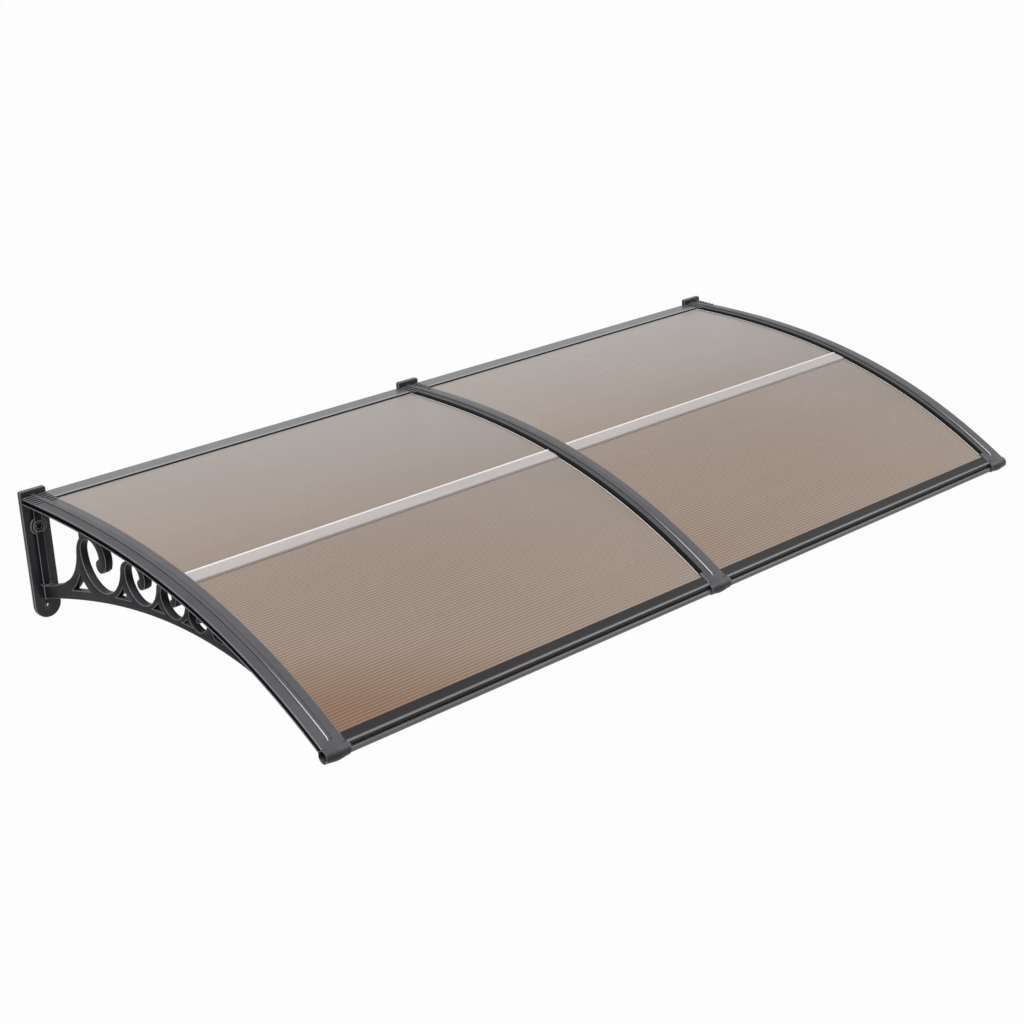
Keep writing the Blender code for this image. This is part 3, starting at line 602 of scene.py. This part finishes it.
def box(x_range, out_range, z_range):
    spans = (x_range, (-out_range[1], -out_range[0]), z_range)
    centre = [(low + high) / 2 for low, high in spans]
    size = [high - low for low, high in spans]
    shape = bmesh.new()
    bmesh.ops.create_cube(shape, size=1.0, matrix=Matrix.Translation(centre) @ Matrix.Diagonal((*size, 1.0)))
    return as_mesh("box", shape)


def cut(mesh, tools, rounding=0.0):
    """Mesh less the tools, with its sharp edges rounded and given a painted highlight."""
    for part in (mesh, *tools):
        for material in CHARCOAL:
            part.materials.append(material)
    item = linked("blank", mesh)
    cutters = [linked("cutter", tool) for tool in tools]
    for cutter in cutters:
        boolean = item.modifiers.new("cut", "BOOLEAN")
        boolean.operation = "DIFFERENCE"
        boolean.solver = "EXACT"
        boolean.object = cutter
    whole = evaluated_mesh(item)
    for used in (*cutters, item):
        bpy.data.objects.remove(used, do_unlink=True)
    shape = bmesh.new()
    shape.from_mesh(whole)
    bmesh.ops.remove_doubles(shape, verts=shape.verts, dist=CUT_MERGE)
    bmesh.ops.dissolve_limit(shape, angle_limit=FLAT_ANGLE, verts=shape.verts, edges=shape.edges,
                             delimit={"MATERIAL"})
    if rounding:
        sharp = [edge for edge in shape.edges
                 if len(edge.link_faces) == 2 and edge.calc_face_angle(0.0) > SHARP_ANGLE]
        bmesh.ops.bevel(shape, geom=sharp, offset=rounding, offset_type="OFFSET", segments=2, profile=0.5,
                        affect="EDGES", clamp_overlap=False, material=EDGE_PAINTED_HIGHLIGHT)
    shape.to_mesh(whole)
    shape.free()
    return whole


def plate_from(outline, thickness, view):
    """Flat outline given a thickness and stood in its view."""
    curve = bpy.data.curves.new("outline", "CURVE")
    curve.dimensions = "2D"
    curve.fill_mode = "BOTH"
    curve.extrude = thickness / 2
    spline = curve.splines.new("POLY")
    spline.points.add(len(outline) - 1)
    for point, place in zip(spline.points, outline):
        point.co = (place[0], place[1], 0.0, 1.0)
    spline.use_cyclic_u = True
    holder = linked("outline", curve)
    mesh = evaluated_mesh(holder)
    bpy.data.objects.remove(holder, do_unlink=True)
    shape = bmesh.new()
    shape.from_mesh(mesh)
    bmesh.ops.transform(shape, matrix=view, verts=shape.verts)
    bmesh.ops.remove_doubles(shape, verts=shape.verts, dist=PLATE_MERGE)
    face_outwards(shape)
    shape.to_mesh(mesh)
    shape.free()
    return mesh


def joined(name, meshes):
    """Several closed meshes kept together as one smooth mesh."""
    whole = bmesh.new()
    for mesh in meshes:
        whole.from_mesh(mesh)
    result = as_mesh(name, whole)
    smooth(result)
    return result


# Bracket

def web_bottom(out):
    depth = WEB_DEPTH * max(0.0, 1.0 - out / WEB_REACH) ** WEB_TAPER
    return straight_below(out, UNDERSIDE + WEB_LEAST) - depth


def scroll_places():
    """Centre and size of each scroll, the first one nearest to the wall."""
    out = FIRST_SCROLL_OUT
    size = 1.0
    places = []
    for _ in range(SCROLLS):
        bottom = web_bottom(out)
        places.append((out, bottom + SCROLL_HEIGHT * (straight_below(out, UNDERSIDE) - bottom), size))
        out += SCROLL_STEP * size
        size *= SCROLL_SHRINK
    return places


def over_top(first, last):
    """Top of an opening, past the web's own top."""
    return [(first, RAIL_LEVEL + OPENING_TOP), (last, RAIL_LEVEL + OPENING_TOP)]


def scroll_opening(place):
    """Opening inside a scroll: over the eye, round the bulb, along the curl and back inside the loop."""
    out, height, size = place
    inner = arc(*EYE, size) + arc(*BULB, size) + arc(*CURL, size)
    first, last = SWEEP_SPAN
    centre = on_circle((0.0, 0.0), LOOP_RADIUS - SWEEP_RADIUS, first)
    sweep = arc(centre, SWEEP_RADIUS, first, last, size)
    flare_centre = on_circle(centre, SWEEP_RADIUS + FLARE_RADIUS, last)
    flare = arc(flare_centre, FLARE_RADIUS, last - 180, FLARE_END, size)[1:]
    loop = arc((0.0, 0.0), LOOP_RADIUS, first, LOOP_END, size)[1:]
    scaled = [[(out + x * size, height + z * size) for x, z in points]
              for points in (inner, flare[::-1] + sweep[::-1] + loop)]
    return scaled[0] + over_top(scaled[0][-1][0], scaled[1][0][0]) + scaled[1]


def first_opening():
    """Opening between the wall plate, the arm and the first scroll."""
    first, last = ARCH_SPAN
    sweep = arc(ARCH_CENTRE, ARCH_RADIUS, first, last)
    flare_centre = on_circle(ARCH_CENTRE, ARCH_RADIUS + ARCH_FLARE, last)
    flare = arc(flare_centre, ARCH_FLARE, last - 180, ARCH_FLARE_END)[1:]
    side = [(out, RAIL_LEVEL + z) for out, z in (*ARM_TOP, *sweep, *flare)]
    return side + over_top(side[-1][0], side[0][0])


def triangle_opening(number, place):
    """Opening between a scroll, the one before and the web's lower edge; its sides bow inwards."""
    out, height, size = place
    lift = TRIANGLE_LIFT * size**0.5
    middle = out - TRIANGLE_SHIFTS[number] * size
    drop = (TRIANGLE_PEAK_DOWN - TRIANGLE_PEAK_RISE * number) * size
    peak = (middle - TRIANGLE_PEAK_BACK * size, height - drop)
    sides = []
    for back, sign in ((TRIANGLE_LEFT, 1), (TRIANGLE_RIGHT, -1)):
        foot = (middle - back * size, web_bottom(middle - back * size) + lift)
        side = []
        for share in spread(0.0, 1.0, 9):
            bow = TRIANGLE_BOW * size * share * (1 - share)
            side.append((foot[0] + (peak[0] - foot[0]) * share + sign * bow,
                         foot[1] + (peak[1] - foot[1]) * share - bow))
        sides.append(side)
    return sides[1] + sides[0][::-1][1:]


def last_opening():
    """Thin slit where the web runs out under the rail."""
    upper = [below_rail(out, SLIT_TOP_DEPTH) for out in spread(*SLIT_TOP, 8)]
    lower = [(out, web_bottom(out) + SLIT_LIFT) for out in spread(*SLIT_FOOT, 8)]
    return upper + lower


def rail_mesh():
    """H-section rail with a ridge on top, hollowed out for the knuckle."""
    ridge = [(0.0031, -0.0036), (0.0046, -0.0028), (0.0050, -0.0022), (0.0053, -0.0006), (0.0062, 0.0)]
    upper_flange = [(0.0240, 0.0), (0.0257, 0.0009), (0.0260, 0.0014), (0.0260, 0.0027), (0.0256, 0.0032)]
    slot = [(0.0052, 0.0032), (0.0050, 0.0034), (0.0050, 0.0086), (0.0052, 0.0088)]
    lower_flange = [(0.0248, 0.0114), (0.0256, 0.0118), (0.0258, 0.0124), (0.0256, 0.0134), (0.0248, 0.0138),
                    (0.0100, 0.0134)]
    half = ridge + upper_flange + slot + lower_flange
    section = half + [(-x, depth) for x, depth in reversed(half)]
    # Sides are counted from the ridge's right edge, and their mirror images back from the last one
    last = len(section) - 2
    # Edge chamfers carry painted highlights, the slot and the ridge's right side painted shade, the ridge's
    # left side a painted highlight.
    shades = {**dict.fromkeys((5, 14, 15), EDGE_PAINTED_HIGHLIGHT), **dict.fromkeys(range(9, 14), PAINTED_SHADE)}
    shades.update({last - side: shade for side, shade in shades.items()})
    shades.update(dict.fromkeys((0, 1, 2), PAINTED_SHADE))
    shades.update(dict.fromkeys((last, last - 1), RIDGE_PAINTED_HIGHLIGHT))
    stations = [out for span in RAIL_STATIONS for out in spread(*span)]
    reach = RAIL_HALF + CUT_PAST
    hollow = placed(cylinder(HOLLOW_RADIUS, -reach, reach, 64), 0.0, *KNUCKLE_PLACE, SIDEWAYS)
    return cut(swept(stations, section, shades), [hollow])


def web_mesh():
    """Scroll web with its openings, its edges rounded, and room for the upper boss's socket."""
    top = [below_rail(out, WEB_TOP_DEPTH) for out in spread(WEB_ROOT, WEB_REACH - WEB_TOP_ROOM, 60)]
    bottom = [(out, web_bottom(out)) for out in spread(WEB_REACH - WEB_TIP_ROOM, WEB_ROOT, 70)]
    places = scroll_places()
    outlines = [first_opening(), last_opening()] + [scroll_opening(place) for place in places]
    outlines += [triangle_opening(number, place) for number, place in enumerate(places)]
    tools = [plate_from(outline, WEB_THICK * 2, SIDE_VIEW) for outline in outlines]
    socket = cylinder(WEB_SOCKET_RADIUS, *WEB_SOCKET_OUT, 6)
    tools.append(placed(socket, 0.0, 0.0, RAIL_LEVEL + UPPER_BOLT, OUTWARD))
    # Its rounded edges carry painted highlights.
    web = cut(plate_from(top + bottom, WEB_THICK, SIDE_VIEW), tools, WEB_ROUNDING)
    # Its faces take a darker copy of the moulding: painted shade.
    for polygon in web.polygons:
        if polygon.material_index == MOULDING:
            polygon.material_index = WEB
    return web


def plate_mesh():
    """Wall plate with bolt holes, and pockets in its back."""
    corner = PLATE_HALF - PLATE_CORNER
    head = RAIL_LEVEL + PLATE_TOP - PLATE_CORNER
    outline = (arc((corner, head), PLATE_CORNER, 0, 90) + arc((-corner, head), PLATE_CORNER, 90, 180)
               + arc((0.0, RAIL_LEVEL + PLATE_ROUND_CENTRE), PLATE_HALF, 180, 360))
    plate = placed(plate_from(outline, PLATE_THICK, FRONT_VIEW), 0.0, PLATE_THICK / 2, 0.0)
    tools = []
    for height in (UPPER_BOLT, LOWER_BOLT):
        hole = cylinder(BOLT_RADIUS, -CUT_PAST, 2 * PLATE_THICK)
        tools.append(placed(hole, 0.0, 0.0, RAIL_LEVEL + height, OUTWARD))
    for side in (-1, 1):
        x_range = sorted(side * x for x in POCKET_SIDES)
        for low, high in POCKET_HEIGHTS:
            tools.append(box(x_range, (-CUT_PAST, POCKET_DEPTH), (RAIL_LEVEL + low, RAIL_LEVEL + high)))
    # Its rounded edges carry painted highlights.
    return cut(plate, tools, PLATE_ROUNDING)


def upper_boss_meshes():
    """Boss with two raised rings with painted highlights, and a lining of painted shade in its hexagonal
    socket.
    """
    height = RAIL_LEVEL + UPPER_BOLT
    outer_ring = [(0.0140, 0.0184), (0.0152, 0.0178), (0.0157, 0.0168), (0.0152, 0.0158), (0.0140, 0.0152)]
    inner_ring = [(0.0140, 0.0136), (0.0170, 0.0131), (0.0182, 0.0122), (0.0184, 0.0112), (0.0176, 0.0102),
                  (0.0140, 0.0097)]
    bore = [(0.0140, 0.0060), (0.0136, 0.0043), (BOSS_FOOT, BOLT_RADIUS)]
    boss = turned([(BOSS_FOOT, 0.0184), *outer_ring, *inner_ring, *bore], painted_highlight=(1, 2, 3, 7, 8, 9))
    lining = turned([(0.0141, 0.0057), (0.0166, 0.0057), (0.0166, 0.0052), (0.0146, 0.0052), (0.0146, 0.0043),
                     (0.0141, 0.0043)], 6)
    return [placed(mesh, 0.0, 0.0, height, OUTWARD) for mesh in (boss, painted(lining, PAINTED_SHADE))]


def arm_root_meshes():
    """Ring around the lower bolt, and the block with two pins that braces the arm's root."""
    # Some sides of the ring and pins, and the block's rounded edges, carry painted highlights.
    ring = turned([(BOSS_FOOT, 0.009), (0.0108, 0.009), (0.0115, 0.0085), (0.0115, 0.0050), (0.0108, 0.0044),
                   (BOSS_FOOT, BOLT_RADIUS)], painted_highlight=(1, 3))
    heights = [RAIL_LEVEL + height for height in ROOT_BLOCK_HEIGHTS]
    block = box((-ROOT_BLOCK_HALF, ROOT_BLOCK_HALF), ROOT_BLOCK_OUT, heights)
    meshes = [placed(ring, 0.0, 0.0, RAIL_LEVEL + LOWER_BOLT, OUTWARD), cut(block, [], WEB_ROUNDING)]
    for x in (-PIN_OFFSET, PIN_OFFSET):
        pin = turned([(0.0, 0.0001), (0.0028, 0.0001), (0.0036, 0.0008), (0.0036, 0.0014), (0.0028, 0.0021),
                      (0.0, 0.0021)], 24, painted_highlight=(1, 2, 3))
        meshes.append(placed(pin, x, PIN_OUT, heights[1] - PIN_SUNK))
    return meshes


def grip_meshes():
    """Rounded cross ribs on both flanges next to the wall plate, each lower than the one before."""
    ribs = []
    for side in (-1, 1):
        x_range = sorted(side * x for x in GRIP_SIDES)
        for number in range(GRIP_RIBS):
            out = GRIP_FIRST + number * GRIP_PITCH
            foot = RAIL_LEVEL + fall(out)
            heights = (foot - GRIP_SUNK, foot + GRIP_HEIGHT - GRIP_LOSS * number)
            # Their rounded edges carry painted highlights.
            ribs.append(cut(box(x_range, (out - GRIP_HALF, out + GRIP_HALF), heights), [], GRIP_ROUNDING))
    return ribs


def knuckle_mesh():
    """Barrel with a thin-walled socket and the two screws' counterbores."""
    rim = [(0.0256, KNUCKLE_RADIUS), (RAIL_HALF, 0.0119), (RAIL_HALF, 0.0115)]
    swell = [(x, KNUCKLE_RADIUS + KNUCKLE_SWELL * math.cos(math.pi * x / (2 * RAIL_HALF)) ** 2)
             for x in spread(-0.0252, 0.0252, 17)]
    socket = [(0.0257, SOCKET_RADIUS), (-0.0257, SOCKET_RADIUS)]
    profile = [(-x, radius) for x, radius in reversed(rim)] + swell + rim + socket
    first = len(rim + swell)
    # The barrel's rims and end faces carry painted highlights.
    barrel = turned(profile, 72, painted_highlight=(0, 1, first, first + 1, first + 2, len(profile) - 1))
    barrel.transform(SIDEWAYS)
    holes = []
    for side in (-1, 1):
        for radius, start in SCREW_HOLES:
            hole = cylinder(radius, start, SCREW_HOLE_END)
            holes.append(placed(hole, side * SCREW_OFFSET, 0.0, 0.0, Matrix.Rotation(math.pi, 4, "X")))
    mesh = placed(cut(barrel, holes), 0.0, *KNUCKLE_PLACE)
    smooth(mesh)
    return mesh


def make_brackets():
    parts = [rail_mesh(), web_mesh(), plate_mesh()] + upper_boss_meshes() + arm_root_meshes() + grip_meshes()
    bracket = joined("bracket_visual", parts)
    knuckle = knuckle_mesh()
    for side, x in (("left", -PITCH), ("middle", 0.0), ("right", PITCH)):
        for kind, mesh in (("bracket", bracket), ("knuckle", knuckle)):
            item = as_object(f"{kind}_{side}_detail", mesh, CHARCOAL)
            item.location.x = x
            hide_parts(f"{kind}_{side}")


# Sheets

def sheet_mesh(first, last):
    """Curved sheet with a run map: across the canopy and along the curve, in metres."""
    stations = spread(first, last, SHEET_ROWS)
    columns = spread(-SHEET_HALF, SHEET_HALF, SHEET_COLUMNS)
    upper = [below_rail(out, SHEET_TOP) for out in stations]
    lower = [below_rail(out, SHEET_BOTTOM) for out in stations]
    lengths = [0.0]
    for near, far in zip(upper, upper[1:]):
        lengths.append(lengths[-1] + math.dist(near, far))
    shape = bmesh.new()
    uv = shape.loops.layers.uv.new("run")
    grids = [[[shape.verts.new((x, -place[0], place[1])) for x in columns] for place in line]
             for line in (upper, lower)]
    for grid in grids:
        for near, far in zip(grid, grid[1:]):
            for step in range(len(columns) - 1):
                shape.faces.new((near[step], near[step + 1], far[step + 1], far[step]))
    top, bottom = grids
    rims = [list(zip(top[row], bottom[row])) for row in (0, -1)]
    rims += [[(high[column], low[column]) for high, low in zip(top, bottom)] for column in (0, -1)]
    for rim in rims:
        for near, far in zip(rim, rim[1:]):
            shape.faces.new((near[0], far[0], far[1], near[1]))
    face_outwards(shape)
    run = {}
    for grid in grids:
        for length, row in zip(lengths, grid):
            run.update({vert: (vert.co.x, length) for vert in row})
    for face in shape.faces:
        for loop in face.loops:
            loop[uv].uv = run[loop.vert]
    mesh = as_mesh("sheet", shape)
    smooth(mesh)
    return mesh


def make_sheets():
    for half, (first, last) in SHEET_SPANS.items():
        mesh = sheet_mesh(first, last)
        for side, x in (("left", -PITCH / 2), ("right", PITCH / 2)):
            item = as_object(f"sheet_{half}_{side}_detail", mesh.copy(), [SHEET[side]])
            item.location.x = x
            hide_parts(f"sheet_{half}_{side}")


# Joiners, bars, trims, and strips of painted shade along the rails

def strips(*outlines):
    """Sections of (out, height) drawn out across a bay, each with the next material of the piece."""
    return [painted(plate_from(outline, 2 * BAY_HALF_GAP, SIDE_VIEW), number)
            for number, outline in enumerate(outlines)]


def at_joiner(points):
    """Points of (distance along the curve, depth) at the joiner."""
    return [below_rail(stepped(JOINER_OUT, along), depth) for along, depth in points]


def joiner_mesh():
    """H strip: a low crown, a bead at the back with a painted highlight, and a step at the front in painted
    shade.
    """
    body = [(-0.0175, 0.0033), (-0.0175, 0.0016), (-0.0135, 0.0015), (-0.0090, 0.0012), (-0.0030, 0.0011),
            (0.0030, 0.0011), (0.0085, 0.0013), (0.0128, 0.0017), (0.0138, 0.0021), (0.0138, 0.0033),
            (0.0008, 0.0033), (0.0008, 0.0088), (0.0185, 0.0088), (0.0190, 0.0092), (0.0190, 0.0102),
            (0.0185, 0.0106), (-0.0185, 0.0106), (-0.0190, 0.0102), (-0.0190, 0.0092), (-0.0185, 0.0088),
            (-0.0008, 0.0088), (-0.0008, 0.0033)]
    bead = [(-0.0190, 0.0033), (-0.0190, 0.0012), (-0.0186, 0.0006), (-0.0178, 0.0002), (-0.0168, 0.0001),
            (-0.0158, 0.0003), (-0.0150, 0.0008), (-0.0146, 0.0016), (-0.0146, 0.0033)]
    step = [(0.0136, 0.0033), (0.0136, 0.0022), (0.0180, 0.0025), (0.0188, 0.0026), (0.0190, 0.0028),
            (0.0190, 0.0033)]
    return joined("joiner_visual", strips(at_joiner(body), at_joiner(bead), at_joiner(step)))


def at_nose(points):
    """Points of (towards the front, towards the top) about the bar's tube, in metres."""
    places = []
    for along, rise in points:
        depth = KNUCKLE_DEPTH - rise
        if along < LIPS_STRAIGHT:
            places.append(below_rail(stepped(RAIL_END_OUT, along), depth))
        else:
            places.append(below_rail(RAIL_END_OUT, depth, along))
    return places


def seen_square(points):
    """Turns points of (across, towards the eye) in millimetres into points about the tube, in metres."""
    sine, cosine = NOSE_TURN
    return [((-cosine * across + sine * near) / 1000, (sine * across + cosine * near) / 1000)
            for across, near in points]


def front_bar_mesh():
    """Lips, bead, groove and tube of the front bar, with its ends for the knuckles' sockets."""
    groove = seen_square([(7.9, 6.0), (3.1, 5.0), (2.6, 4.5), (1.9, -1.0)])
    lips = [(-0.0270, 0.0078), (-0.0270, 0.0092), (-0.0266, 0.0096), (-0.0082, 0.0096), *groove,
            (-0.0052, -0.0020), (-0.0240, 0.0001), (-0.0245, 0.0005), (-0.0245, 0.0015), (-0.0240, 0.0019),
            (-0.0077, 0.0019), (-0.0077, 0.0078)]
    bead = seen_square([(12.6, 3.2), (12.3, 4.3), (11.6, 5.3), (10.6, 6.1), (9.6, 6.5), (8.6, 6.6),
                        (7.8, 6.2), (7.6, 5.2), (10.0, 2.5)])
    tube = seen_square([(1.9, -1.1), (-0.4, 4.0), (-0.9, 4.8), (-1.8, 5.6), (-3.2, 6.1), (-5.0, 6.0),
                        (-6.8, 5.4), (-8.4, 4.3), (-9.7, 2.8), (-10.6, 1.0), (-10.9, -1.0), (-10.7, -2.8),
                        (-9.9, -4.8), (-8.6, -6.8), (-6.8, -8.6), (-4.6, -10.0), (-2.2, -10.7), (0.5, -9.0),
                        (2.4, -5.0)])
    # The lips are dark with painted shade, the bead carries a painted highlight, and the tube and its ends
    # painted light.
    parts = strips(at_nose(lips), at_nose(bead), at_nose(tube))
    start = BAY_HALF_GAP - TUBE_OVERLAP
    for side in (-1, 1):
        end = turned([(0.0, TUBE_BORE), (0.0, TUBE_RADIUS), (0.0160, TUBE_RADIUS), (0.0165, 0.0105),
                      (0.0165, 0.0092), (0.0160, TUBE_BORE)], 48)
        turn = Matrix.Rotation(side * math.radians(90), 4, "Y")
        parts.append(placed(painted(end, TUBE), side * start, *KNUCKLE_PLACE, turn))
    return joined("front_bar_visual", parts)


def rear_trim_mesh():
    """Rolled front edge of the rear bar's lip, paler as a painted highlight, and a black strip of painted
    shade in front of it on the sheet.
    """
    rolled = [(0.0385, -0.0034), (0.0385, -0.0015), (0.0395, -0.0011), (0.0412, -0.0008), (0.0434, -0.0008),
              (0.0448, -0.0011), (0.0456, -0.0018), (0.0458, -0.0028), (0.0454, -0.0034)]
    # The seal is that strip of painted shade in front of the lip.
    seal = [(0.0450, -0.0037), (0.0450, -0.0020), (0.0492, -0.0022), (0.0500, -0.0027), (0.0502, -0.0038)]
    outlines = [[(out, RAIL_LEVEL + height) for out, height in points] for points in (rolled, seal)]
    return joined("rear_trim_visual", strips(*outlines))


def make_strips():
    kinds = (("joiner", joiner_mesh(), FROSTED, "frosted_joiner"),
             ("front_bar", front_bar_mesh(), [DARK_SHADED_LIPS, BEAD_PAINTED_HIGHLIGHT, TUBE_PAINTED_LIGHT], "dark_aluminium"),
             ("rear_trim", rear_trim_mesh(), [ROLLED_LIP_PAINTED_HIGHLIGHT, SEAL_AND_SHADE_BLACK], "grey_aluminium"))
    for kind, mesh, materials, slot in kinds:
        for side, x in (("left", -PITCH / 2), ("right", PITCH / 2)):
            item = as_object(f"{kind}_{side}_detail", mesh, materials)
            item.location.x = x
            if kind != "rear_trim":
                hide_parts(f"{kind}_{side}")


def flange_shade_mesh():
    """Black strip of painted shade over the left edge of a rail's flange and down to the sheet, with a pale
    lip on the sheet as a painted highlight.
    """
    over = [(-0.0180, -0.0007), (-0.0250, -0.0007), (-0.0262, 0.0000), (-0.0262, 0.0012), (-0.0256, 0.0007),
            (-0.0240, -0.0001), (-0.0180, -0.0001)]
    leg = [(-0.0263, 0.0001), (-0.0274, 0.0003), (-0.0280, 0.0010), (-0.0280, 0.0034), (-0.0263, 0.0034)]
    lip = [(-0.0281, 0.0028), (-0.0290, 0.0028), (-0.0295, 0.0034), (-0.0281, 0.0034)]
    parts = [swept(spread(*FLANGE_SHADE_SPAN, 80), over, {})]
    for first, last in FLANGE_SHADE_LEG_SPANS:
        for number, section in enumerate((leg, lip)):
            shades = dict.fromkeys(range(len(section)), number)
            parts.append(swept(spread(first, last, 44), section, shades))
    return joined("flange_shade_visual", parts)


def make_flange_shades():
    mesh = flange_shade_mesh()
    for side, x in (("middle", 0.0), ("right", PITCH)):
        # Strips of painted shade, with painted highlight lips, on the middle and right rails
        item = as_object(f"rail_flange_shade_{side}_detail", mesh, [SEAL_AND_SHADE_BLACK, FROSTED[1]])
        item.location.x = x


# Solids that keep their shape

def dress(node, material, width):
    """Rounds a solid's edges a little and gives it its finish."""
    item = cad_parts[node]
    item.data.materials.clear()
    item.data.materials.append(material)
    rounding = item.modifiers.new("rounded", "BEVEL")
    rounding.width = width
    rounding.segments = 2
    rounding.limit_method = "ANGLE"
    rounding.angle_limit = math.radians(40)
    rounding.use_clamp_overlap = True
    rounding.harden_normals = True
    for polygon in item.data.polygons:
        polygon.use_smooth = True


def dress_solids():
    for side in ("left", "right"):
        dress(f"rear_bar_{side}", GREY, 0.0004)
        dress(f"wall_seal_{side}", SEAL_AND_SHADE_BLACK, 0.0002)
    for number in range(1, 5):
        dress(f"bar_screw_{number}", ZINC, 0.0001)


# Stage, lights and camera

def make_stage():
    """Pale floor that the camera, metal and glass see as white, and that keeps the shadow."""
    shape = bmesh.new()
    bmesh.ops.create_grid(shape, x_segments=1, y_segments=1, size=FLOOR_SIZE)
    floor = linked("floor", as_mesh("floor", shape))
    floor.location.z = FLOOR_LEVEL
    material, shader = new_material("pale_floor", (0.8, 0.8, 0.8), 0.7)
    floor.data.materials.append(material)
    nodes = Nodes(material.node_tree)
    path = nodes.add("ShaderNodeLightPath").outputs
    seen = nodes.math("MAXIMUM", path["Is Camera Ray"], path["Is Transmission Ray"])
    seen = nodes.math("MAXIMUM", seen, path["Is Glossy Ray"])
    mix = nodes.add("ShaderNodeMixShader")
    nodes.join(nodes.math("MULTIPLY", seen, FLOOR_WHITE), mix.inputs["Fac"])
    nodes.join(shader.outputs["BSDF"], mix.inputs[1])
    nodes.join(nodes.add("ShaderNodeEmission").outputs["Emission"], mix.inputs[2])
    nodes.join(mix.outputs["Shader"], nodes.tree.nodes["Material Output"].inputs["Surface"])


def make_world():
    """White world, dimmer for the light that falls on the object than for what is seen."""
    world = bpy.data.worlds.new("studio")
    bpy.context.scene.world = world
    world.use_nodes = True
    nodes = Nodes(world.node_tree)
    background = nodes.tree.nodes["Background"]
    background.inputs["Color"].default_value = (1.0, 1.0, 1.0, 1.0)
    path = nodes.add("ShaderNodeLightPath").outputs
    seen = nodes.math("MAXIMUM", path["Is Camera Ray"], path["Is Glossy Ray"])
    nodes.join(nodes.between(seen, WORLD_LIGHT, 1.0), background.inputs["Strength"])


def make_lamps():
    for name, (place, size, power) in LAMPS.items():
        light = bpy.data.lights.new(name, "AREA")
        light.shape = "DISK"
        light.size = size
        light.energy = power
        lamp = linked(name, light)
        lamp.location = place
        lamp.rotation_euler = (Vector(LAMP_TARGET) - Vector(place)).to_track_quat("-Z", "Y").to_euler()


def make_camera():
    data = bpy.data.cameras.new("camera")
    data.sensor_width = 36.0
    data.lens = CAMERA_LENS
    data.shift_x = CAMERA_SHIFT[0] / PHOTO_WIDTH
    data.shift_y = CAMERA_SHIFT[1] / PHOTO_WIDTH
    data.clip_end = 400.0
    camera = linked("camera", data)
    azimuth = math.radians(CAMERA_AZIMUTH)
    elevation = math.radians(CAMERA_ELEVATION)
    roll = math.radians(CAMERA_ROLL)
    aim = Vector((-math.cos(azimuth) * math.cos(elevation), -math.sin(azimuth) * math.cos(elevation),
                  -math.sin(elevation)))
    right = aim.cross(Vector((0, 0, 1))).normalized()
    up = right.cross(aim)
    rolled_right = right * math.cos(roll) + up * math.sin(roll)
    rolled_up = up * math.cos(roll) - right * math.sin(roll)
    rotation = Matrix((rolled_right, rolled_up, -aim)).transposed()
    camera.matrix_world = Matrix.Translation(CAMERA_PLACE) @ rotation.to_4x4()
    bpy.context.scene.camera = camera


make_brackets()
make_sheets()
make_strips()
make_flange_shades()
dress_solids()
make_stage()
make_world()
make_lamps()
make_camera()
bpy.context.scene.view_settings.view_transform = "Standard"
